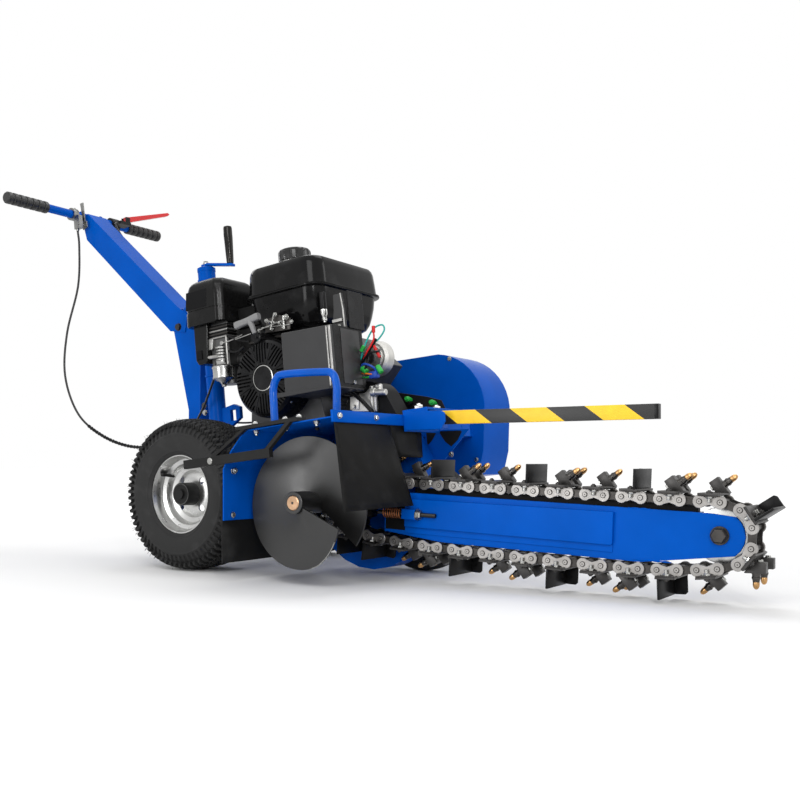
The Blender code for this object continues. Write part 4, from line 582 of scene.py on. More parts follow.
def makeGaugeWheel():
    wheel = {"radius": 0.1371, "half": 0.0222, "hub": 0.03}
    low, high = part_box("gauge_wheel")
    centre = (low + high) / 2
    shape = Shape(Matrix.Translation(centre))
    r, h = wheel["radius"], wheel["half"]
    shape.turn([(r, -h * 0.45), (r, h * 0.45), (r - 0.004, h * 0.8), (r - 0.012, h), (r - 0.036, h),
                (r - 0.038, h - 0.004), (wheel["hub"] + 0.004, h - 0.006), (wheel["hub"], h + 0.0024),
                (0.0086, h + 0.0024), (0.0086, -h - 0.0024), (wheel["hub"], -h - 0.0024),
                (wheel["hub"] + 0.004, -h + 0.006), (r - 0.038, -h + 0.004), (r - 0.036, -h), (r - 0.012, -h),
                (r - 0.004, -h * 0.8)], (0, 0, 0), toFar, 72, 0, loop=True)
    shape.made("gaugeWheel", tyreRubber, "gauge_wheel_body", "black_rubber", "gauge_wheel")


makeGaugeWheel()
print("wheels made")


# digging chain
chain = {"pitch": 0.0381, "teeth": 12, "tipRadius": 0.06165, "tipU": 0.8453, "tipV": -0.0144, "spans": 22,
         "sag": 0.018, "kneeU": 0.1622, "half": 0.03}


def spreadAlong(corners, count):
    lengths = [(Vector(b) - Vector(a)).length for a, b in zip(corners, corners[1:])]
    found = []
    for i in range(1, count):
        left = sum(lengths) * i / count
        for a, b, length in zip(corners, corners[1:], lengths):
            if left <= length:
                found.append(tuple(Vector(a).lerp(Vector(b), left / length)))
                break
            left -= length
    return found


def chainPins():
    # the joints of the loop in the boom's side view: head, top run, tip, sagging bottom run
    step = 360 / chain["teeth"]
    radius = chain["pitch"] / (2 * math.sin(math.pi / chain["teeth"]))
    head = arcPoints((0, 0), radius, 285, 285 - step * 7, 7)
    tip = arcPoints((chain["tipU"], chain["tipV"]), chain["tipRadius"], 90, -90, 5)
    top = spreadAlong([head[-1], (chain["kneeU"], chain["tipV"] + chain["tipRadius"]), tip[0]], chain["spans"])
    bottom = []
    for i in range(1, chain["spans"]):
        t = i / chain["spans"]
        sag = chain["sag"] * (1 - (2 * t - 1) ** 4)
        bottom.append((tip[-1][0] + (head[0][0] - tip[-1][0]) * t, tip[-1][1] + (head[0][1] - tip[-1][1]) * t - sag))
    return [Vector(p) for p in head + top + tip + bottom]


def linkOutline(half, bulge, waist):
    # a figure-eight side plate: two round ends and a narrow middle
    right = [(half + x, z) for x, z in arcPoints((0, 0), bulge, -132, 132, 14)]
    left = [(-half + x, z) for x, z in arcPoints((0, 0), bulge, 48, 312, 14)]
    return right + [(0.0, waist)] + left + [(0.0, -waist)]


def linkPlace(start, end):
    # a link's own place: x from pin to pin, z outwards
    along, middle = (end - start).normalized(), (start + end) / 2
    return boomLine @ Matrix(((along.x, 0, -along.y, middle.x), (0, -1, 0, 0), (along.y, 0, along.x, middle.y),
                              (0, 0, 0, 1)))


def makeChain():
    link = {"outerRound": 0.0126, "outerWaist": 0.0058, "outerSheet": 0.0036, "innerRound": 0.0112,
            "innerWaist": 0.0076, "innerLow": 0.008, "innerHigh": 0.0042}
    pins, half, outerHalf = chainPins(), chain["half"], chain["pitch"] / 2
    links, cutters = Shape(boomLine), Shape(boomLine)
    for k in range(0, len(pins), 2):
        first, second, third = pins[k], pins[(k + 1) % len(pins)], pins[(k + 2) % len(pins)]
        outer = Shape(linkPlace(first, second))
        for side in (-1, 1):
            sheet = sorted((side * (half - link["outerSheet"]), side * half))
            outer.slab(linkOutline(outerHalf, link["outerRound"], link["outerWaist"]), "y", *sheet, 0, 0.0006, 1)
            for u in (-outerHalf, outerHalf):  # each pin's head: (how deep, how proud, radius, sides, finish, edge)
                for deep, proud, radius, sides, finish, edge in ((0.001, 0.0012, 0.0056, 20, 1, None),
                                                                 (0, 0.0018, 0.0044, 18, 3, None),
                                                                 (0, 0.0021, 0.0012, 8, 1, 0)):
                    outer.rod((u, side * (half - deep), 0), (u, side * (half + proud), 0), radius, sides, finish,
                              edge)
        for u in (-outerHalf, outerHalf):
            outer.rod((u, -half + 0.005, 0), (u, half - 0.005, 0), 0.0072, 12, 1, 0)
        links.join(outer.mesh)
        inner = Shape(linkPlace(second, third))
        for side in (-1, 1):
            sheet = sorted((side * (half - link["innerLow"]), side * (half - link["innerHigh"])))
            inner.slab(linkOutline((third - second).length / 2, link["innerRound"], link["innerWaist"]), "y", *sheet,
                       1, 0.0006, 1)
        links.join(inner.mesh)
        cutters.join(makeCutter(k, linkPlace(first, second)).mesh)
    links.made("diggingLinks", [plateSteel, darkSteel, zinc, plateSteel], "chassis", "bare_steel", "digging_chain")
    cutters.made("cutters", [blackSteel, zinc, bronze, paddleBlack, darkSteel, pickSteel], "chassis", "bare_steel")
    print("digging chain made:", len(pins), "links")


def makeCutter(number, place):
    # what an outer link carries, drawn with x along the chain's travel and z outwards
    cutter = {"foot": 0.0125, "sheet": 0.004, "boltY": 0.0335, "reach": 0.0555, "lean": (0.78, 0.0, 0.62),
              "wide": 0.0085}
    boltY, reach = cutter["boltY"], cutter["reach"]
    shape = Shape(place)
    kind = (number // 2) % 3
    foot, top = cutter["foot"], cutter["foot"] + cutter["sheet"]
    for side in (-1, 1):  # the bolt that clamps it to the near and far plates
        shape.rod((0, side * boltY, -0.001), (0, side * boltY, foot), 0.0036, 12, 1)
        shape.bolt((0, side * boltY, foot - 0.0005), toGround, 0.007, 1)
        shape.bolt((0, side * boltY, top), toTop, 0.006, 0, False, 0.002, 0.6)
        shape.block((-0.019, side * boltY - 0.01, foot - 0.0022), (0.019, side * boltY + 0.01, foot + 0.0002), 4,
                    0.0005, 1)
    shape.block((-0.0185, -0.047, foot), (0.0185, 0.047, top), 0, 0.0006, 1)
    if kind == 0:  # a spoil paddle with a folded near end
        shape.block((0.009, -0.049, top - 0.001), (0.014, 0.049, reach), 3, 0.0012, 2)
        shape.slab([(-0.017, top - 0.001), (0.013, top - 0.001), (0.013, reach - 0.0008), (-0.012, reach - 0.0008),
                    (-0.017, 0.05)], "y", -0.0494, -0.045, 3, 0.0012, 2)
        shape.bolt((-0.002, 0.0, top), toTop, 0.0058, 1)
        return shape
    spots = ((-0.037, 0.0), (0.012, 0.005)) if kind == 1 else ((-0.033, 0.002),)
    for y, shift in spots:
        # the holder is a slanted block, square to its pick
        holder = [(-0.006, top - 0.001), (0.0196, top - 0.001), (0.02, 0.0172), (-0.0036, 0.0462), (-0.0198, 0.0336)]
        shape.slab([(x + shift, z) for x, z in holder], "y", y - cutter["wide"], y + cutter["wide"], 0, 0.0009, 2)
        lean = Vector(cutter["lean"]).normalized()
        at = Vector((0.001 + shift, y, 0.0262))
        shape.turn([(0.007, 0), (0.0082, 0.002), (0.0082, 0.01), (0.0072, 0.012), (0.0072, 0.015), (0.008, 0.016),
                    (0.008, 0.0185), (0.0066, 0.0215), (0.006, 0.0255)], at, lean, 22, 5)
        shape.turn([(0.0056, 0.0245), (0.0062, 0.027), (0.006, 0.032), (0.0046, 0.036), (0.0022, 0.0385)], at, lean,
                   20, 2)
        shape.bolt((-0.013 + shift, y, 0.0245), (-0.78, 0, -0.62), 0.0052, 1)
    return shape


makeChain()


# head shaft, auger and boom
def makeAuger():
    auger = {"radius": 0.1455, "tube": 0.0245, "root": 0.022, "end": -0.39, "inner": -0.1945, "pitch": 0.07,
             "sheet": 0.005, "start": -30.0, "sweep": 376.0, "steps": 120, "worn": 0.13, "wornTurn": 42}
    radius, tube, root, end, inner, pitch, sheet, start, sweep, steps, worn, wornTurn = auger.values()
    at = (stance["headX"], 0, stance["headZ"])
    shape = Shape()
    rows, rim = [], []
    for i in range(steps + 1):
        turned = sweep * i / steps
        c, z = spoke(start - turned)
        y = end + 0.003 + pitch * turned / 360
        kept = 1 - worn * max(0.0, 1 - turned / wornTurn)  # the near end is worn narrower
        row = []
        for reach, side in ((root, 0), (0.06, 0), (0.1, 0), (radius - 0.001, 0), (radius, sheet / 2),
                            (radius - 0.001, sheet), (0.1, sheet), (0.06, sheet), (root, sheet)):
            reach = root + (reach - root) * kept
            row.append((at[0] + reach * c, y + side, at[2] + reach * z))
        rows.append(row)
        if 4 <= i < 17:  # a bright zinc strip along the rim: worn steel, and a painted highlight of the cut edge
            wide = root + (radius - 0.0224) * kept
            rim.append((at[0] + wide * c, y + 0.0001, at[2] + wide * z))
    shape.grid(rows, 0)
    shape.turn([(0.017, end), (0.0235, end), (tube, end + 0.001), (tube, inner - 0.001), (0.0235, inner),
                (0.017, inner)], at, toFar, 64, 0, loop=True)
    # two clamping bolts through the tube
    for y, turn, collar in ((-0.348, -74, 0.0), (-0.294, -52, 0.012)):
        c, z = spoke(turn)
        out = Vector((c, 0, z))
        foot = Vector(at) + Vector((0, y, 0)) + out * 0.0238
        if collar:
            shape.rod(foot - out * 0.002, foot + out * collar, 0.0125, 24, 0)
        shape.bolt(foot + out * collar, out, 0.0085, 1)
    shape.tube(rim, 0.0008, 6, 1, 1)
    shape.made("auger", [augerBlack, zinc], "head_rotor", "black_paint", "auger")
    shaft = Shape()
    shaft.turn([(0.0145, -0.392), (0.0163, -0.3905), (0.0163, -0.038), (0.0145, -0.036)], at, toFar, 40, 0)
    shaft.rod((at[0], -0.3925, at[2]), (at[0], -0.3915, at[2]), 0.003, 12, 1)
    shaft.made("headShaft", [copperFace, darkSteel], "head_rotor", "zinc_plate", "head_shaft")


makeAuger()


def boomFittings(shape):
    shape.at = boomLine
    half = 0.02  # of the bar's width
    shape.slab([(0.156, -0.05), (0.638, -0.05), (0.641, -0.047), (0.641, 0.016), (0.156, 0.0125)], "y",
               -half - 0.0085, -half + 0.002, 0, 0.0016, 3)
    # a thin dark plate on the near face: painted shade of a recess there
    shape.slab([(0.101, -0.059), (0.1545, -0.059), (0.1545, 0.006), (0.101, 0.006)], "y", -half - 0.0006,
               -half + 0.001, 1, 0.0003, 1)
    shape.block((0.17, -0.009, 0.025), (0.8, 0.009, 0.0375), 1, 0.0012, 2)
    for u, v in ((0.705, -0.0735), (0.72, -0.0738), (0.735, -0.0735), (0.69, 0.0255), (0.3, -0.0775),
                 (0.46, -0.0775)):
        shape.tube([(u - 0.022, -half + 0.0004, v), (u, -half + 0.0006, v + 0.0004), (u + 0.022, -half + 0.0004, v)],
                   0.0018, 8, 0, 6, lambda t: 0.8 + 0.3 * math.sin(t * 60))


softened("boom_bar", [blue, darkSheet], "blue_paint", 0.0018, 3, boomFittings, body="boom")


def makeTip():
    centre = (chain["tipU"], 0, chain["tipV"])
    bolt = {"radius": 0.01, "head": 0.0158, "near": -0.0205, "far": 0.0245, "side": 0.0204}
    shape = Shape(boomLine)
    shape.rod((centre[0], bolt["near"], centre[2]), (centre[0], bolt["far"], centre[2]), bolt["radius"], 24, 0)
    for side, along in ((-1, toNear), (1, toFar)):
        shape.bolt((centre[0], side * bolt["side"], centre[2]), along, bolt["head"], 0)
    shape.made("tipBolt", darkSteel, "boom", "blue_paint", "idler_bolt", 28)
    wheel = Shape(boomLine)
    wheel.turn([(0.0108, -0.0128), (0.044, -0.0128), (0.0525, -0.011), (0.053, -0.009), (0.053, 0.009),
                (0.0525, 0.011), (0.044, 0.0128), (0.0108, 0.0128)], centre, toFar, 72, 0, loop=True)
    wheel.made("tipIdler", silver, "idler", "bare_steel", "tip_idler")


makeTip()


def makeTensioner():
    tension = {"y": -0.0335, "v": -0.0205, "thread": 0.005, "length": 0.15, "turns": 8, "coil": 0.0112}
    y, v = tension["y"], tension["v"]
    rod = Shape(boomLine)
    profile = [(tension["thread"] - (0.0006 if i % 2 else 0.0), i * tension["length"] / 99) for i in range(100)]
    rod.turn(profile, (0.09, y, v), toFront, 16, 0)
    rod.turn([(0.0052, 0), (0.0135, 0.0002), (0.0138, 0.001), (0.0138, 0.0018), (0.0052, 0.0022)], (0.193, y, v),
             toFront, 28, 1)
    rod.bolt((0.195, y, v), toFront, 0.0112, 1, False, 0, 0.8)
    rod.made("tensionRod", [darkSteel, zinc], "chassis", "zinc_plate", "tension_rod")
    coil = Shape(boomLine)
    points = []
    for i in range(tension["turns"] * 14 + 1):
        angle = 2 * math.pi * i / 14
        points.append((0.106 + 0.0475 * i / (tension["turns"] * 14), y + tension["coil"] * math.cos(angle),
                       v + tension["coil"] * math.sin(angle)))
    coil.tube(points, 0.0015, 8, 0, 1)
    coil.made("tensionSpring", copperWire, "boom", "spring_steel", "tension_spring")


makeTensioner()
print("head and boom made")


# frame, hood and step
def frameFittings(shape):
    shape.block((0.043, -0.1515, 0.1245), (0.334, -0.1495, 0.134), 1, 0.0004, 1)
    for x in (0.095, 0.3):
        for y in (-0.08, 0.118):
            shape.bolt((x, y, 0.115), toGround, 0.0085, 2)
    for y in (-0.01, 0.13):
        for x in (-0.04, 0.04):
            shape.bolt((x, y - 0.0062, 0.07), toNear, 0.008, 2, stud=0.003)


softened("main_frame", [blue, darkSheet, zinc], "blue_paint", 0.0022, 3, frameFittings)


def hoodFittings(shape):
    bolts = {"rows": ((0.363, -0.41), (0.448, -0.41), (0.5295, -0.41)), "size": 0.0066, "under": 0.11}
    for x, y in bolts["rows"]:
        shape.bolt((x, y, bolts["under"]), toGround, bolts["size"], 1, True, 0.004, 0.8)
    for x, y in ((0.445, -0.3), (0.54, -0.3)):
        shape.bolt((x, y, bolts["under"]), toGround, 0.005, 2, True, 0.002, 0.7)
    shape.bolt((0.2745, -0.396, 0.032), (1, 0, -0.1), 0.0076, 1, True, 0.003, 0.8)
    shape.bolt((0.2632, -0.4005, -0.066), (1, 0, -0.1), 0.0072, 1, height=0.8)


softened("hood", [blue, zinc, darkSteel], "blue_paint", 0.0007, 2, hoodFittings)


def domeNut(shape, at, along, size, finish):
    # a hexagon with a round cap over the thread
    at, along = Vector(at), Vector(along).normalized()
    shape.bolt(at, along, size, finish, True, 0, 0.55)
    base = at + along * size * 0.66
    shape.turn([(size * 0.8, 0), (size * 0.76, size * 0.25), (size * 0.55, size * 0.5), (size * 0.25, size * 0.62)],
               base, along, 20, finish)


def stepFittings(shape):
    for x in (0.364, 0.448, 0.486):
        domeNut(shape, (x, -0.412, 0.122), toTop, 0.0068, 1)
    shape.bolt((0.247, -0.439, 0.056), toNear, 0.0066, 1, height=0.13)


softened("foot_step", [satinBlack, zinc], "black_paint", 0.001, 2, stepFittings)


def makeGrabBar():
    bar = {"radius": 0.0085, "y": -0.395, "sides": 28}
    route = [(0.4047, 0.1136), (0.406, 0.16), (0.4085, 0.196), (0.42, 0.218), (0.443, 0.2235), (0.542, 0.213),
             (0.57, 0.205), (0.5785, 0.18), (0.576, 0.15), (0.5735, 0.1267)]
    shape = Shape().tube([(x, bar["y"], z) for x, z in route], bar["radius"] - 0.0002, bar["sides"], 0, 8)
    shape.turn([(0.0086, 0), (0.0112, 0.0004), (0.0098, 0.0022), (0.0086, 0.003)], (0.4047, bar["y"], 0.1137), toTop,
               28, 0)
    shape.made("grabBar", blueGloss, "chassis", "blue_paint", "grab_bar")


makeGrabBar()


def makeRail():
    rail = {"front": 0.5968, "low": (0.5908, -0.441, 0.0995), "high": (0.5968, 0.02, 0.1245),
            "bolts": (-0.42, -0.288, -0.025)}
    shape = Shape().block(rail["low"], rail["high"], 0, 0.0012)
    for y in rail["bolts"]:
        shape.bolt((rail["front"], y, 0.1125), toFront, 0.0058, 1, height=0.75)
    shape.made("frontRail", [blue, zinc], "chassis", "blue_paint", "front_rail")


makeRail()


def hangingSheet(node, name, longer=0.0):
    # a rubber sheet with a slight ripple down it
    shape = Shape()
    part = bmesh.new()
    part.from_mesh(nodes[node].data)
    bmesh.ops.remove_doubles(part, verts=part.verts, dist=0.00002)
    bmesh.ops.subdivide_edges(part, edges=[e for e in part.edges if e.calc_length() > 0.02], cuts=4,
                              use_grid_fill=True)
    low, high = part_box(node)
    tall = max(high.z - low.z, 0.01)
    for corner in part.verts:
        drop = (high.z - corner.co.z) / tall
        corner.co.x += 0.001 * drop * math.sin(corner.co.y * 38.0 + 1.0)
        corner.co.z -= longer * drop
    shape.take(part, 0, Matrix.Identity(4))
    return shape.made(name, flapRubber, "chassis", "black_rubber", node, 40)


hangingSheet("auger_flap", "augerFlap")
hangingSheet("boom_flap", "boomFlap", 0.026)
hangingSheet("rear_skirt", "rearSkirt")
print("frame and hood made")


# reduction case, guard, front bracket and safety bar
def caseFittings(shape):
    # the case's faces above the hood take the dark sheet finish
    everything = shape.mesh.verts[:] + shape.mesh.edges[:] + shape.mesh.faces[:]
    line, up = chassis @ Vector((0.45, 0, 0.114)), chassis.to_3x3() @ Vector(toTop)
    bmesh.ops.bisect_plane(shape.mesh, geom=everything, dist=0.00001, plane_co=line, plane_no=up)
    for face in shape.mesh.faces:
        if (face.calc_center_median() - line).dot(up) > 0:
            face.material_index = 2


softened("drive_case", [blue, zinc, darkSheet], "blue_paint", 0.0012, 2, caseFittings)
softened("belt_guard", [blue, zinc], "blue_paint", 0.0013, 2)


def plateFittings(shape):
    for x, z in ((0.553, 0.028), (0.5, 0.305), (0.18, 0.3)):
        shape.bolt((x, 0.23, z), toNear, 0.0056, 1, height=0.6)


softened("guard_plate", [blue, zinc], "blue_paint", 0.0007, 2, plateFittings)


def bracketFittings(shape):
    for y in (-0.16, -0.082):
        shape.bolt((0.629, y, 0.1337), toTop, 0.0105, 1, stud=0.004)
    # a cheek beside the bar's root, cut off at its lower corner
    shape.slab([(0.6, 0.133), (0.698, 0.1202), (0.706, 0.114), (0.706, 0.096), (0.693, 0.079), (0.6, 0.088)], "y",
               -0.1815, -0.1765, 0, 0.002, 3)
    # the gusset under the bracket; its two openings are black patches on its face, painted shade where they would
    # show the dark behind
    shape.slab([(0.56, 0.096), (0.684, 0.0862), (0.6406, 0.0481), (0.5952, 0.0079), (0.5817, -0.0146),
                (0.56, -0.0115)], "y", -0.033, -0.03, 0, 0.0008)
    for outline in ([(0.5657, 0.094), (0.596, 0.0905), (0.5812, 0.0716), (0.569, 0.0615), (0.5657, 0.064)],
                    [(0.605, 0.09), (0.66, 0.0848), (0.663, 0.0815), (0.65, 0.064), (0.631, 0.05), (0.615, 0.064),
                     (0.603, 0.085)]):
        shape.slab(outline, "y", -0.0336, -0.0324, 2, 0.0004, 1)
    shape.bolt((0.629, -0.0336, 0.032), toNear, 0.006, 1)


softened("bar_bracket", [blue, brightZinc, satinBlack], "blue_paint", 0.0016, 3, bracketFittings)


def makeSafetyBar():
    # the bar is level, so its own box is its shape
    cap = {"long": 0.01, "over": 0.00002, "short": 0.00005}
    over = Vector((0, cap["over"], cap["over"]))
    low, high = (level.inverted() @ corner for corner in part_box("safety_bar"))
    shape = Shape(level).block(low, high, 0, 0.0012, 3)
    capLow, capHigh = Vector((high.x - cap["long"], low.y, low.z)), Vector((high.x - cap["short"], high.y, high.z))
    shape.block(capLow - over, capHigh + over, 1, 0.0013, 3)
    shape.made("safetyBar", [stripes, blackPlastic], "chassis", "hazard_yellow", "safety_bar")


makeSafetyBar()
print("guard and bar made")


# mast and jack
def postFittings(shape):
    for side in (-1, 1):
        shape.rod((-0.152, side * 0.0322, 0.255), (-0.152, side * 0.033, 0.255), 0.009, 24, 1)
    for z in (0.185, 0.235):
        shape.bolt((-0.15, -0.0322, z), toNear, 0.0072, 2)
    # the seam where the folded sheet meets
    shape.tube([(-0.179, -0.0322, 0.165), (-0.158, -0.0323, 0.34), (-0.142, -0.0322, 0.5)], 0.0011, 8, 0, 6)


softened("post", [blue, darkSteel, zinc], "blue_paint", 0.003, 3, postFittings)


def armFittings(shape):
    for side in (-1, 1):  # a weld round the cross bar on each cheek
        shape.turn([(0.0126, 0), (0.0165, 0.0006), (0.0142, 0.0035), (0.0127, 0.0042)],
                   (stance["barX"], side * 0.0365, stance["barZ"]), (0, side, 0), 28, 0)


softened("handle_arm", blue, "blue_paint", 0.0022, 3, armFittings, body="handle")


def makeHingeBolt():
    low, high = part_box("hinge_bolt")
    middle = (low + high) / 2
    back = chassis.inverted() @ middle
    shape = Shape()
    half = (high.y - low.y) / 2
    shape.rod((back.x, back.y - half + 0.008, back.z), (back.x, back.y + half - 0.008, back.z), 0.006, 24, 0)
    shape.bolt((back.x, back.y - half + 0.0085, back.z), toNear, 0.01, 0)
    shape.bolt((back.x, back.y + half - 0.0085, back.z), toFar, 0.01, 0)
    shape.made("hingeBolt", darkSteel, "chassis", "zinc_plate", "hinge_bolt", 28)


makeHingeBolt()


def makeJack():
    jack = {"x": -0.1135, "y": -0.022, "radius": 0.0245, "top": 0.64, "armTop": 0.6523, "knobX": -0.0225}
    x, y, r, top, armTop, knobX = jack.values()

    def jackFittings(shape):
        for z in (0.15, 0.33, 0.6):
            shape.turn([(r + 0.0002, 0), (r + 0.0022, 0.0008), (r + 0.0022, 0.0052), (r + 0.0002, 0.006)], (x, y, z),
                       toTop, 48, 0)
        shape.turn([(r + 0.0006, 0), (r + 0.001, 0.001), (r + 0.001, 0.01), (r - 0.003, 0.0125), (0.012, 0.0128)],
                   (x, y, top - 0.011), toTop, 48, 0)
    softened("jack_tube", [blue, zinc], "blue_paint", 0.0012, 2, jackFittings)
    crank = Shape()
    crank.rod((x, y, top + 0.002), (x, y, armTop + 0.004), 0.0085, 32, 0)
    crank.bolt((x, y, armTop + 0.003), toTop, 0.007, 0)
    # the arm dips towards its grip
    crank.slab([(x - 0.012, 0.6445), (x + 0.012, 0.6445), (knobX + 0.011, 0.6245), (knobX + 0.011, 0.6325),
                (x + 0.013, 0.6522), (x - 0.012, 0.6522)], "y", y - 0.0085, y + 0.0085, 2, 0.0022, 3)
    crank.rod((knobX, y, 0.6265), (knobX, y, 0.74), 0.0042, 20, 0)
    crank.turn([(0.006, 0), (0.0094, 0.001), (0.01, 0.006), (0.0112, 0.04), (0.0122, 0.07), (0.0122, 0.098),
                (0.0112, 0.103), (0.006, 0.105)], (knobX, y, 0.6345), toTop, 48, 1)
    crank.bolt((knobX, y, 0.7392), toTop, 0.0042, 0, False, 0, 0.4)
    crank.made("jackCrank", [zinc, polished, blue], "jack_handle", "zinc_plate", "jack_crank")
    leg = Shape()
    leg.turn([(0.015, 0.054), (0.0186, 0.0545), (0.019, 0.056), (0.019, 0.559), (0.018, 0.56)], (x, y, 0), toTop, 40,
             0)
    leg.made("jackLeg", zinc, "jack_post", "zinc_plate", "jack_leg")


makeJack()


# handle bar, grips and levers
def makeGrips():
    grip = {"radius": 0.0175, "length": 0.137, "ribs": 5, "first": 0.018, "step": 0.0205}
    r, length, ribs, first, step = grip.values()
    for name, outer, inward in (("near_grip", -0.298, 1), ("far_grip", 0.281, -1)):
        profile = [(0.004, 0.0), (0.014, 0.0002), (r - 0.0006, 0.003), (r, 0.006)]
        for k in range(ribs + 1):
            t = first + k * step
            profile += [(r, t - 0.004), (r - 0.0008, t - 0.0028), (r - 0.0026, t - 0.002), (r - 0.0026, t + 0.002),
                        (r - 0.0008, t + 0.0028), (r, t + 0.004)]
        profile += [(r, length - 0.002), (r - 0.001, length), (0.0134, length), (0.013, length - 0.0014)]
        shape = Shape().turn(profile, (stance["barX"], outer, stance["barZ"]), (0, inward, 0), 48, 0)
        shape.made(name.replace("_g", "G"), gripRubber, "handle", "black_rubber", name)


makeGrips()


def makeLevers():
    def clampFittings(shape):
        shape.bolt((stance["barX"], -0.0575, 0.9285), toFar, 0.004, 1, False)
        shape.rod((-0.592, -0.065, 0.86), (-0.5915, -0.065, 0.853), 0.0048, 16, 1)
    softened("throttle_clamp", [clampAlloy, zinc], "black_plastic", 0.0014, 2, clampFittings, body="handle")
    softened("throttle_lever", clampAlloy, "black_plastic", 0.0014, 3, body="throttle")
    softened("clutch_perch", satinBlack, "black_plastic", 0.0012, 2, body="handle")
    softened("clutch_lever", red, "red_paint", 0.0013, 3, body="clutch")


makeLevers()
print("mast and handle made")


# engine
def makeCrankcase():
    def blockFittings(shape):
        # cooling fins round the cylinder, set across its slanted axis
        fins = {"count": 9, "pitch": 0.0115, "thick": 0.0028, "reach": 0.062, "from": (0.265, 0.223), "slant": 0.7071}
        slant, reach, half = fins["slant"], fins["reach"], fins["thick"] / 2
        for k in range(fins["count"]):
            x, z = (start + k * fins["pitch"] * slant for start in fins["from"])
            outline = [(x + slant * (half * b - reach * a), z + slant * (half * b + reach * a))
                       for a, b in ((1, -1), (1, 1), (-1, 1), (-1, -1))]
            shape.slab(outline, "y", -0.0435, 0.1285, 0, 0.0006, 1)
        for x, z in ((0.11, 0.16), (0.29, 0.16), (0.13, 0.33), (0.25, 0.345)):
            shape.bolt((x, 0.15, z), toFar, 0.006, 1)
        shape.bolt((0.15, -0.1052, 0.15), toNear, 0.008, 1)
        shape.rod((0.205, 0.149, 0.2685), (0.205, 0.156, 0.2685), 0.03, 40, 0)
    softened("engine_block", [blockBlack, zinc], "cast_aluminium", 0.003, 3, blockFittings)


makeCrankcase()


def makeRecoilCover():
    cover = {"x": 0.199, "z": 0.2685, "radius": 0.0983, "near": -0.183, "back": -0.1055, "disc": 0.03, "slots": 8,
             "gap": 0.0088}
    cx, cz, r, near, back, disc, slots, gap = cover.values()
    shape = Shape()
    shape.turn([(r, -back), (r, -(near + 0.022)), (r - 0.003, -(near + 0.01)), (r - 0.01, -(near + 0.003)),
                (r - 0.02, -(near + 0.001)), (0.035, -near - 0.0006), (0.0335, -near - 0.003),
                (0.0325, -near - 0.003)], (cx, 0, cz), toNear, 96, 0)
    done = shape.made("recoilCover", blackPlastic, "chassis", "black_plastic", "recoil_cover", 30)
    cut = {"outer": 0.088, "inner": 0.0385, "half": 0.0023, "spread": 0.345, "least": 0.008}
    cuts, half = Shape(), cut["half"]
    # eight sectors of slots, each sector's slots along its own middle
    for sector in range(8):
        for k in range(slots):
            offset = (k - (slots - 1) / 2) * gap
            reachOut = math.sqrt(cut["outer"] ** 2 - offset ** 2)
            reachIn = max(cut["inner"], (abs(offset) + 0.0022) / cut["spread"])
            if reachOut - reachIn < cut["least"]:
                continue
            c, s = spoke(45 * sector)
            corners = [(cx + along * c - across * s, cz + along * s + across * c)
                       for along, across in ((reachIn, offset - half), (reachOut, offset - half),
                                             (reachOut, offset + half), (reachIn, offset + half))]
            cuts.slab(corners, "y", near - 0.002, near + 0.0105, 0, 0)
    cutAway(done, cuts)
    trim = Shape()
    trim.turn([(disc, 0), (disc + 0.0022, 0.0004), (disc + 0.0022, 0.0014), (disc, 0.002)], (cx, near + 0.0022, cz),
              toNear, 64, 0, loop=True)
    trim.rod((cx, near + 0.003, cz), (cx, near + 0.0012, cz), disc - 0.0006, 64, 1)
    for k in range(8):
        c, s = spoke(22.5 + 45 * k)
        trim.tube([(cx + 0.034 * c, near + 0.0012, cz + 0.034 * s), (cx + 0.06 * c, near + 0.0008, cz + 0.06 * s),
                   (cx + 0.088 * c, near + 0.0026, cz + 0.088 * s)], 0.0018, 10, 1, 4)
    for turn in (45, 135, 225, 315):
        c, s = spoke(turn)
        trim.bolt((cx + 0.095 * c, near + 0.02, cz + 0.095 * s), toNear, 0.004, 0)
    trim.rod((0.186, -0.184, 0.372), (0.186, -0.107, 0.372), 0.0152, 28, 1)
    trim.made("recoilTrim", [zinc, blackPlastic], "chassis", "black_plastic")


makeRecoilCover()


def makePullHandle():
    pull = {"left": (0.142, 0.407), "right": (0.22, 0.418), "y": -0.203, "thick": 0.0098, "steps": 12, "around": 24,
            "square": 0.6, "flat": 0.85}
    shape = Shape()
    (x0, z0), (x1, z1) = pull["left"], pull["right"]
    y = pull["y"]
    along = (Vector((x1, 0, z1)) - Vector((x0, 0, z0))).normalized()
    lift = Vector((-along.z, 0, along.x))
    rows = []
    for i in range(pull["steps"] + 1):
        t = i / pull["steps"]
        mid = Vector((x0, y, z0)).lerp(Vector((x1, y, z1)), t)
        size = pull["thick"] * (0.82 + 0.18 * (2 * t - 1) ** 2) if 0 < t < 1 else pull["thick"] * 0.86
        ring = []
        for k in range(pull["around"]):  # a squared oval
            c, s = (math.copysign(abs(part) ** pull["square"], part) for part in spoke(360 * k / pull["around"]))
            ring.append(mid + lift * size * c + Vector((0, pull["flat"], 0)) * size * s)
        rows.append(ring)
    shape.grid(rows, 0)
    mid = Vector((x0, y, z0)).lerp(Vector((x1, y, z1)), 0.62)
    foot = Vector((0.201, y + 0.001, 0.378))
    shape.tube([mid + Vector((-0.001, 0, -0.002)), mid.lerp(foot, 0.5), foot], 0.0066, 16, 0, 4,
               lambda t: 1.25 - 0.4 * t)
    shape.tube([foot + Vector((0, 0, 0.004)), foot + Vector((0, 0.006, -0.009)), Vector((0.1863, -0.1845, 0.3722))],
               0.0016, 10, 1, 6)
    shape.made("pullHandle", [greyHandle, blackPlastic], "starter_pull", "black_plastic", "recoil_handle")


makePullHandle()


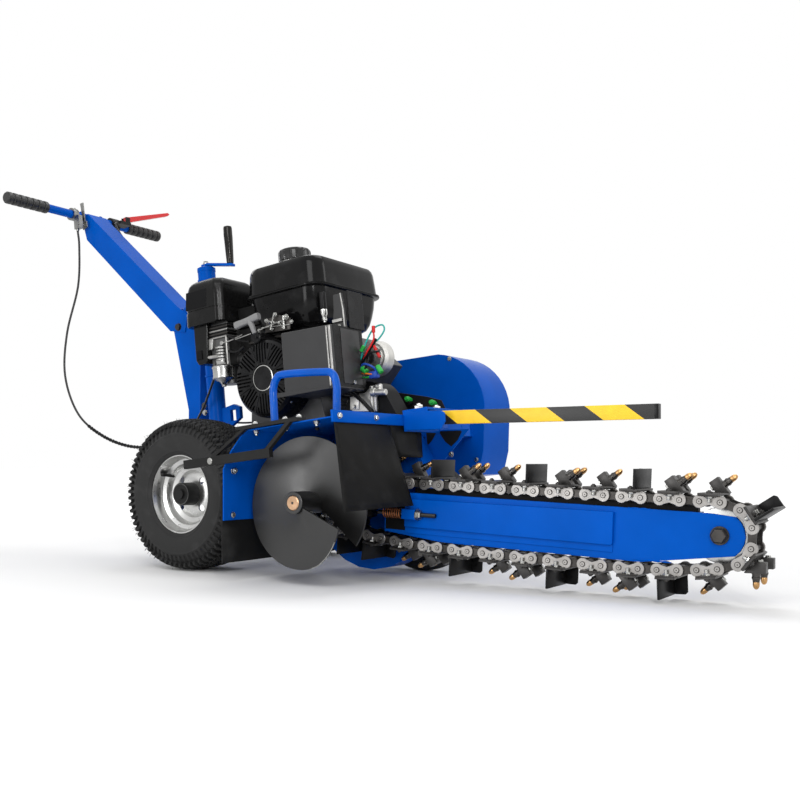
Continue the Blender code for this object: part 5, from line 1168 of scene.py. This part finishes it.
def makeTank():
    tank = {"low": (0.112, -0.15), "high": (0.364, 0.157), "tap": (0.356, -0.118)}
    (x0, y0), (x1, y1) = tank["low"], tank["high"]
    shape = Shape()
    # level outlines from the bottom up: (inset, height, corner)
    levels = [(0.058, 0.3922, 0.024), (0.044, 0.393, 0.03), (0.033, 0.3985, 0.038), (0.025, 0.411, 0.042),
              (0.019, 0.43, 0.044), (0.014, 0.455, 0.044), (0.011, 0.4815, 0.044), (0.002, 0.4832, 0.046),
              (0.001, 0.4845, 0.046), (0.0006, 0.4868, 0.046), (0.0018, 0.4872, 0.046), (0.0006, 0.4876, 0.046),
              (0.001, 0.4898, 0.046), (0.003, 0.4908, 0.046), (0.006, 0.4916, 0.046), (0.0066, 0.5, 0.046),
              (0.0078, 0.52, 0.046), (0.0094, 0.544, 0.046), (0.0118, 0.553, 0.045), (0.016, 0.559, 0.042),
              (0.023, 0.5622, 0.036), (0.036, 0.5634, 0.03), (0.06, 0.5638, 0.026), (0.09, 0.5639, 0.012)]
    rows = []
    for inset, z, corner in levels:
        outline = roundedOutline((x0 + inset, y0 + inset), (x1 - inset, y1 - inset), corner, 8)
        rows.append([(x, y, z) for x, y in outline])
    shape.grid(rows, 0)
    for x in (0.19, 0.286):
        shape.bolt((x, y0 + 0.003, 0.487), toTop, 0.004, 1, False)
    shape.made("fuelTank", tankBlack, "chassis", "black_plastic", "fuel_tank", 28)
    # fuel tap under the tank's front corner
    tap = Shape()
    tap.rod((*tank["tap"], 0.462), (*tank["tap"], 0.42), 0.0085, 24, 1)
    tap.turn([(0.006, 0), (0.0085, 0.002), (0.0085, 0.014), (0.006, 0.018), (0.0045, 0.028)], (*tank["tap"], 0.421),
             toGround, 24, 0)
    tap.bolt((*tank["tap"], 0.396), toGround, 0.0062, 0, stud=0.004)
    tap.made("fuelTap", [brightZinc, blackPlastic], "chassis", "black_plastic")


makeTank()


def makeCap():
    cap = {"x": 0.195, "y": -0.01, "rise": 0.02, "around": 144, "rib": 0.0022}
    shape = Shape()

    def stack(levels, paint):
        # rings up the height; a ribbed one is cut in at three of every nine corners
        rows = []
        for radius, z, ribbed in levels:
            row = []
            for k in range(cap["around"]):
                angle, reach = 2 * math.pi * k / cap["around"], radius - (cap["rib"] if ribbed and k % 9 < 3 else 0)
                row.append((cap["x"] + reach * math.cos(angle), cap["y"] + reach * math.sin(angle), z + cap["rise"]))
            rows.append(row)
        shape.grid(rows, paint)

    stack(((0.03, 0.5526, 0), (0.038, 0.5526, 0), (0.0388, 0.556, 0), (0.037, 0.5745, 0)), 1)
    stack(((0.037, 0.572, 0), (0.0422, 0.5722, 0), (0.0434, 0.574, 1), (0.0434, 0.594, 1), (0.0426, 0.5985, 1),
           (0.04, 0.602, 0), (0.034, 0.6045, 0), (0.025, 0.6056, 0), (0.008, 0.606, 0)), 0)
    shape.made("fuelCap", [capBlack, whitePlastic], "cap", "black_plastic", "fuel_cap", 28)


makeCap()


def makeAirFilter():
    shape = Shape()
    housing = {"near": -0.165, "far": -0.0205, "round": 0.023, "cut": 0.0235}
    y0, y1 = housing["near"], housing["far"]
    # rounded plan outlines stacked up the height: (left, right, near inset, height)
    levels = [(-0.07, 0.05, 0.01, 0.444), (-0.074, 0.0565, 0.003, 0.4452), (-0.0755, 0.058, 0.0005, 0.448),
              (-0.0745, 0.0582, 0.0005, 0.48), (-0.073, 0.0584, 0.0005, 0.4815), (-0.0722, 0.0578, 0.0022, 0.4818),
              (-0.0718, 0.058, 0.0022, 0.485), (-0.0726, 0.0588, 0.0002, 0.4856), (-0.069, 0.0594, 0.0002, 0.52),
              (-0.064, 0.0596, 0.0002, 0.541), (-0.06, 0.058, 0.002, 0.55), (-0.054, 0.054, 0.006, 0.557),
              (-0.045, 0.047, 0.013, 0.562), (-0.03, 0.038, 0.024, 0.5636), (-0.015, 0.025, 0.04, 0.5638)]
    rows = []
    for left, right, inset, z in levels:
        corner = housing["round"] - min(inset, 0.02) * 0.5
        outline = roundedOutline((left, y0 + inset), (right, y1 - inset), corner, 8)
        cutX, cutY = right - 0.02, y0 + inset + 0.02  # the near front corner is cut off flat
        kept = []
        for x, y in outline:
            over = (x - cutX) - (y - cutY) - housing["cut"]
            kept.append((x - max(over, 0) / 2, y + max(over, 0) / 2, z))
        rows.append(kept)
    shape.grid(rows, 0)
    shape.slab([(-0.064, 0.489), (0.012, 0.489), (0.015, 0.536), (-0.058, 0.536)], "y", y0 - 0.0006, y0 + 0.004, 1,
               0.0006, 1)
    # a paler glossy strip on the near face by the cut corner: a painted highlight of that corner
    shape.slab([(0.027, 0.456), (0.041, 0.456), (0.042, 0.538), (0.029, 0.538)], "y", y0 + 0.0036, y0 + 0.008, 2,
               0.0006, 1)
    shape.slab([(-0.056, 0.447), (-0.006, 0.447), (-0.013, 0.35), (-0.018, 0.343), (-0.048, 0.343), (-0.056, 0.356)],
               "y", -0.15, -0.07, 0, 0.005, 3)
    shape.slab([(-0.05, 0.38), (-0.03, 0.38), (-0.03, 0.356), (-0.05, 0.356)], "y", -0.153, -0.149, 1, 0.001, 2)
    shape.made("airFilter", [filterPlastic, darkSheet, facetHighlight], "chassis", "black_plastic", "air_filter", 28,
               even=True)


makeAirFilter()


def makeCarburettor():
    def carbFittings(shape):
        at = (0.0235, -0.133)  # the bowl's axis
        shape.turn([(0.001, 0), (0.005, 0.001), (0.01, 0.009), (0.023, 0.016), (0.0282, 0.0185), (0.029, 0.0215),
                    (0.0272, 0.0235), (0.0272, 0.044), (0.029, 0.0455), (0.029, 0.05), (0.02, 0.053),
                    (0.018, 0.064)], (*at, 0.279), toTop, 44, 3)
        shape.bolt((*at, 0.281), toGround, 0.006, 1)
        for k in range(5):  # the stacked rings of the body
            shape.rod((*at, 0.344 + k * 0.008), (*at, 0.349 + k * 0.008), 0.0165 - 0.0015 * (k % 2), 32, 1)
        shape.rod((*at, 0.343), (*at, 0.386), 0.012, 28, 0)
        shape.slab([(-0.036, 0.377), (0.0, 0.377), (0.006, 0.406), (-0.035, 0.411)], "y", -0.144, -0.118, 1, 0.003, 3)
        for k in range(4):  # the ribbed collar under the filter
            shape.block((-0.011, -0.142, 0.404 + k * 0.009), (0.056, -0.1, 0.409 + k * 0.009), 4 if k % 2 else 1,
                        0.0016, 2)
        shape.block((-0.008, -0.139, 0.404), (0.053, -0.102, 0.44), 2, 0.0014, 2)
        shape.rod((-0.03, -0.144, 0.359), (0.024, -0.142, 0.357), 0.005, 18, 1)
        shape.rod((-0.056, -0.144, 0.36), (-0.03, -0.144, 0.359), 0.0034, 14, 1)
        shape.bolt((-0.03, -0.145, 0.359), toNear, 0.0058, 1)
        shape.rod((0.052, -0.143, 0.33), (0.052, -0.143, 0.404), 0.003, 12, 1)
        shape.rod((0.038, -0.143, 0.388), (0.038, -0.148, 0.388), 0.006, 18, 1)
        shape.tube([(0.04, -0.146, 0.388), (0.07, -0.145, 0.39), (0.11, -0.144, 0.398)], 0.0014, 8, 1, 6)
        shape.tube([(0.056, -0.143, 0.406), (0.09, -0.144, 0.388), (0.13, -0.143, 0.376)], 0.0026, 8, 2, 6)
        shape.tube([(0.056, -0.14, 0.364), (0.086, -0.142, 0.358), (0.112, -0.143, 0.366)], 0.004, 10, 2, 6)
    softened("carburettor", [darkAlloy, alloy, blackPlastic, bowlAlloy, darkSteel], "cast_aluminium", 0.0016, 2,
             carbFittings)


makeCarburettor()


def makeLinkage():
    # governor rods, springs and small fittings between the filter and the tank
    shape = Shape()
    shape.block((0.11, -0.124, 0.374), (0.276, -0.106, 0.38), 1, 0.001, 2)
    shape.block((0.06, -0.1, 0.33), (0.2, -0.09, 0.43), 3, 0.003, 2)  # a dark block filling the gap behind
    shape.block((0.06, -0.1, 0.42), (0.15, -0.09, 0.48), 3, 0.003, 2)
    shape.slab([(0.19, 0.386), (0.27, 0.382), (0.276, 0.41), (0.24, 0.424), (0.198, 0.42)], "y", -0.15, -0.146, 1,
               0.001, 2)
    for a, b, radius in (((0.09, -0.15, 0.388), (0.15, -0.156, 0.392), 0.0014),
                         ((0.174, -0.154, 0.396), (0.25, -0.156, 0.406), 0.0018),
                         ((0.214, -0.156, 0.39), (0.23, -0.156, 0.43), 0.002),
                         ((0.186, -0.156, 0.4), (0.276, -0.156, 0.392), 0.0012),
                         ((0.258, -0.156, 0.384), (0.258, -0.156, 0.418), 0.0024),
                         ((0.2, -0.158, 0.416), (0.242, -0.158, 0.402), 0.0016)):
        shape.rod(a, b, radius, 12, 0)
    for x, y, z, size in ((0.2, -0.152, 0.416, 0.0048), (0.23, -0.152, 0.426, 0.0052),
                          (0.242, -0.152, 0.402, 0.0044), (0.264, -0.152, 0.413, 0.007),
                          (0.28, -0.152, 0.399, 0.0046), (0.174, -0.152, 0.396, 0.004),
                          (0.216, -0.152, 0.392, 0.004), (0.252, -0.152, 0.39, 0.0038)):
        shape.bolt((x, y, z), toNear, size, 0, stud=0.002)
    spring = [(0.208 + 0.0024 * i / 2, -0.156 + 0.0034 * math.cos(i * 0.9),
               0.408 + 0.0034 * math.sin(i * 0.9) - 0.00012 * i) for i in range(46)]
    shape.tube(spring, 0.0008, 6, 0, 1)
    shape.made("linkage", [zinc, darkSteel, blackPlastic, flapRubber], "chassis", "zinc_plate")


makeLinkage()
softened("muffler", darkSteel, "bare_steel", 0.006, 3)


def makeControlBox():
    def boxFittings(shape):
        # two bright alloy strips down the near corner, a painted highlight of the rounded corner; a lip along the
        # bottom and a black side panel
        for x, wide in ((0.4405, 0.0022), (0.449, 0.0034)):
            shape.slab([(x - wide, 0.21), (x + wide, 0.21), (x + wide, 0.35), (x - wide, 0.3505)], "y", -0.2306,
                       -0.2272, 4, 0.0014, 3)
        shape.slab([(0.268, 0.204), (0.436, 0.204), (0.436, 0.21), (0.268, 0.216)], "y", -0.23, -0.2272, 1, 0.002, 3)
        shape.block((0.4545, -0.224, 0.208), (0.4562, -0.108, 0.352), 2, 0.0008, 2)
        shape.block((0.4558, -0.196, 0.216), (0.4576, -0.124, 0.346), 1, 0.0012, 2)
        shape.rod((0.457, -0.16, 0.22), (0.462, -0.16, 0.22), 0.005, 16, 3)
        # the upright bracket that carries a small switch, up to the tank's lip
        shape.slab([(0.415, 0.35), (0.456, 0.35), (0.454, 0.396), (0.45, 0.434), (0.425, 0.434), (0.423, 0.396)],
                   "y", -0.17, -0.165, 1, 0.001, 2)
        # a thin bright alloy strip down the bracket's edge: a painted highlight
        shape.slab([(0.45, 0.35), (0.454, 0.35), (0.453, 0.396), (0.448, 0.434), (0.445, 0.434), (0.449, 0.396)],
                   "y", -0.1716, -0.1696, 4, 0.0006, 2)
        shape.block((0.42, -0.176, 0.366), (0.448, -0.17, 0.374), 4, 0.0012, 2)
        shape.block((0.456, -0.16, 0.35), (0.46, -0.1, 0.44), 2, 0.001, 2)
        for x, z in ((0.438, 0.356), (0.45, 0.215)):
            shape.bolt((x, -0.172 if z > 0.3 else -0.2285, z), toNear, 0.0044, 3)
    softened("control_box", [boxGrey, boxGrey, blackPlastic, zinc, alloy], "black_plastic", 0.0034, 4, boxFittings)


makeControlBox()


def makeStarter():
    starter = {"x": 0.372, "z": 0.179, "boltsAt": 0.029}

    def starterFittings(shape):
        shape.turn([(0.0345, -0.034), (0.035, -0.03), (0.0345, 0.02), (0.033, 0.024)],
                   (starter["x"], 0, starter["z"]), toFar, 48, 0)
        for turn in (40, 160, 280):
            c, s = spoke(turn)
            shape.bolt((starter["x"] + starter["boltsAt"] * c, -0.0292, starter["z"] + starter["boltsAt"] * s),
                       toNear, 0.004, 1)
    softened("starter_motor", [alloy, zinc], "cast_aluminium", 0.0014, 2, starterFittings)


makeStarter()


def makeLoom():
    # wires, plugs and the pale castings at the engine's front
    shape = Shape()
    coil = {"x": 0.448, "z": 0.29}  # the pale drum, in three steps: (far end, near end, radius, sides, finish)
    for far, near, radius, sides, finish in ((-0.02, -0.06, 0.043, 48, 0), (-0.059, -0.064, 0.03, 48, 0),
                                             (-0.062, -0.068, 0.012, 32, 1)):
        shape.rod((coil["x"], far, coil["z"]), (coil["x"], near, coil["z"]), radius, sides, finish)
    shape.slab([(0.406, 0.158), (0.478, 0.1496), (0.48, 0.187), (0.496, 0.2), (0.496, 0.216), (0.4673, 0.2138),
                (0.4512, 0.201), (0.41, 0.197)], "y", -0.108, -0.096, 0, 0.0036, 3)
    shape.slab([(0.404, 0.164), (0.43, 0.161), (0.434, 0.193), (0.407, 0.196)], "y", -0.111, -0.106, 0, 0.0016, 2)
    shape.slab([(0.466, 0.152), (0.474, 0.151), (0.476, 0.212), (0.469, 0.213)], "y", -0.115, -0.106, 0, 0.002, 2)
    shape.rod((0.478, -0.115, 0.1965), (0.516, -0.115, 0.1915), 0.0074, 24, 0)
    shape.rod((0.474, -0.115, 0.197), (0.486, -0.115, 0.1954), 0.0104, 24, 0)
    for x, z in ((0.418, 0.17), (0.472, 0.206), (0.485, 0.208)):
        shape.bolt((x, -0.112, z), toNear, 0.005, 2)
    shape.made("frontCastings", [paleCast, darkAlloy, zinc], "chassis", "cast_aluminium")
    wires = Shape()
    runs = ((0, 0.002, [(0.452, -0.12, 0.27), (0.47, -0.124, 0.305), (0.495, -0.118, 0.344), (0.518, -0.112, 0.352),
                        (0.524, -0.113, 0.338), (0.508, -0.118, 0.318), (0.488, -0.116, 0.312)]),
            (1, 0.0022, [(0.456, -0.121, 0.265), (0.48, -0.13, 0.29), (0.5, -0.126, 0.318), (0.498, -0.12, 0.34)]),
            (3, 0.0026, [(0.454, -0.123, 0.255), (0.472, -0.134, 0.264), (0.498, -0.13, 0.25), (0.49, -0.11, 0.23)]),
            (4, 0.0022, [(0.454, -0.122, 0.245), (0.476, -0.132, 0.24), (0.5, -0.12, 0.236), (0.49, -0.1, 0.25)]),
            (5, 0.0026, [(0.453, -0.123, 0.25), (0.474, -0.133, 0.252), (0.486, -0.126, 0.288),
                         (0.48, -0.11, 0.304)]),
            (5, 0.0028, [(0.454, -0.126, 0.262), (0.49, -0.134, 0.286), (0.505, -0.12, 0.29), (0.495, -0.09, 0.3)]),
            (2, 0.0022, [(0.454, -0.118, 0.235), (0.478, -0.128, 0.232), (0.496, -0.12, 0.24)]),
            (5, 0.0052, [(0.415, -0.13, 0.208), (0.4259, -0.126, 0.2009), (0.446, -0.125, 0.1843),
                         (0.4618, -0.125, 0.1676), (0.4774, -0.125, 0.1497), (0.49, -0.125, 0.13)]),
            (5, 0.0026, [(0.43, -0.13, 0.208), (0.44, -0.128, 0.196), (0.458, -0.127, 0.176), (0.472, -0.126, 0.156),
                         (0.486, -0.125, 0.13)]))
    for colour, radius, points in runs:
        wires.tube(points, radius, 10, colour, 6)
    plugs = (((0.498, -0.12, 0.336), (0.499, -0.12, 0.352), 0.0042, 16, 1),
             ((0.508, -0.118, 0.275), (0.494, -0.118, 0.306), 0.0036, 16, 1),
             ((0.462, -0.128, 0.256), (0.476, -0.13, 0.244), 0.007, 12, 2),
             ((0.5, -0.12, 0.256), (0.51, -0.12, 0.238), 0.0066, 12, 2),
             ((0.462, -0.126, 0.296), (0.472, -0.126, 0.308), 0.005, 12, 2))
    for plug in plugs:
        wires.rod(*plug)
    wires.block((0.48, -0.13, 0.228), (0.502, -0.114, 0.244), 3, 0.002, 2)
    wires.rod((0.456, -0.122, 0.27), (0.504, -0.12, 0.32), 0.004, 16, 5)
    wires.made("wiringLoom", [wireTeal, wireRed, wireGreen, wireBlue, wireOrange, blackPlastic], "chassis",
               "black_plastic")


makeLoom()


def makeFrontPlate():
    # the dark sheet behind the front bracket, with two capped screws
    shape = Shape()
    shape.slab([(0.402, 0.16), (0.402, 0.218), (0.42, 0.218), (0.55, 0.183), (0.588, 0.169), (0.599, 0.1418),
                (0.599, 0.125), (0.44, 0.125)], "y", 0.013, 0.017, 0, 0.001)
    for x, z in ((0.501, 0.1806), (0.57, 0.1625)):
        shape.rod((x, 0.013, z), (x, -0.004, z + 0.003), 0.007, 16, 1)
        shape.rod((x, -0.003, z + 0.003), (x, -0.008, z + 0.004), 0.005, 16, 1)
        shape.rod((x + 0.004, 0.0125, z - 0.007), (x + 0.006, -0.006, z - 0.009), 0.0046, 12, 2)
    shape.made("frontPlate", [darkSheet, wireGreen, blackPlastic], "chassis", "black_paint")


makeFrontPlate()
print("engine made")


# the pieces inside are kept from the CAD, with finer finishes
inner = {"engine_pulley": darkAlloy, "driven_pulley": darkAlloy, "pinion_shaft": darkSteel, "shaft_bearing": alloy,
         "drive_belt": gripRubber, "large_sprocket": darkSteel, "drive_chain": darkSteel, "head_sprocket": darkSteel,
         "gauge_axle": zinc, "axle": satinBlack}
for name, paint in inner.items():
    nodes[name].data.materials.clear()
    nodes[name].data.materials.append(paint)


# floor and light
def makeStage():
    # a pale floor that fades to white where it is far from the machine
    stage = {"darker": 0.86, "paler": 0.9, "mottle": 0.5, "fade": (1.3, 9.0), "glow": 0.45, "half": 30,
             "drop": 0.0003, "sky": 0.68}
    floor = Finish("floor", Roughness=0.9, Specular_IOR_Level=0.1)
    floor.feed({"Base Color": floor.blend(floor.noise(stage["mottle"], 2.0), [stage["darker"]] * 3,
                                          [stage["paler"]] * 3)})
    x, y, _ = floor.parts()
    far = (x * x + y * y).between(*stage["fade"])
    seen = floor.node("ShaderNodeLightPath", out="Is Camera Ray")
    glow = floor.blend(far * seen, [0.0] * 3, [stage["glow"]] * 3)
    floor.feed({"Emission Color": glow, "Emission Strength": 1.0})
    mesh = bpy.data.meshes.new("floor")
    far = stage["half"]
    mesh.from_pydata([(-far, -far, 0), (far, -far, 0), (far, far, 0), (-far, far, 0)], [], [(0, 1, 2, 3)])
    mesh.materials.append(floor.material)
    ground = bpy.data.objects.new("floor", mesh)
    ground.location.z = -stage["drop"]
    bpy.context.scene.collection.objects.link(ground)
    world = bpy.data.worlds.new("studio")
    bpy.context.scene.world = world
    sky = Graph(world, "Background")
    white = (1.0, 1.0, 1.0)
    sky.feed({"Color": white, "Strength": stage["sky"]})
    plain = sky.node("ShaderNodeBackground", None, {"Color": white, "Strength": 1.0})
    share, *others = [sky.node("ShaderNodeLightPath", out=f"Is {kind} Ray")
                      for kind in ("Camera", "Glossy", "Transmission")]
    for other in others:
        share = share.do("MAXIMUM", share, other)
    mix = sky.node("ShaderNodeMixShader", None, {0: share, 1: Wire(sky, sky.shader.outputs[0]), 2: plain})
    sky.feed({"Surface": mix}, sky.tree.nodes["World Output"])
    # each lamp: where it is, where it points, its power and its size
    lamps = {"key": ((1.2, -2.6, 2.6), (0.1, 0, 0.35), 26.0, (1.6, 1.2)),
             "left": ((-0.7, -3.0, 0.72), (0.37, -0.38, 0.25), 20.0, (0.9, 1.2)),
             "strip": ((2.25, -2.46, 1.27), (-0.28, -0.12, 0.69), 26.0, (0.12, 1.4)),
             "top": ((0.1, 0.9, 3.1), (0, 0, 0.4), 27.0, (2.0, 1.4)),
             "side": ((-3.0, 0.6, 1.9), (-0.2, 0, 0.45), 13.0, (1.0, 1.8)),
             "rim": ((2.4, 2.0, 1.9), (0.2, 0, 0.4), 9.0, (0.6, 1.6))}
    for name, (at, towards, power, size) in lamps.items():
        data = bpy.data.lights.new(name, "AREA")
        data.shape, data.energy, (data.size, data.size_y) = "RECTANGLE", power, size
        lamp = bpy.data.objects.new(name, data)
        lamp.location = at
        lamp.rotation_euler = (Vector(towards) - Vector(at)).to_track_quat("-Z", "Y").to_euler()
        bpy.context.scene.collection.objects.link(lamp)
    bpy.context.scene.view_settings.view_transform = "Standard"


makeStage()
print("all made, finishing")
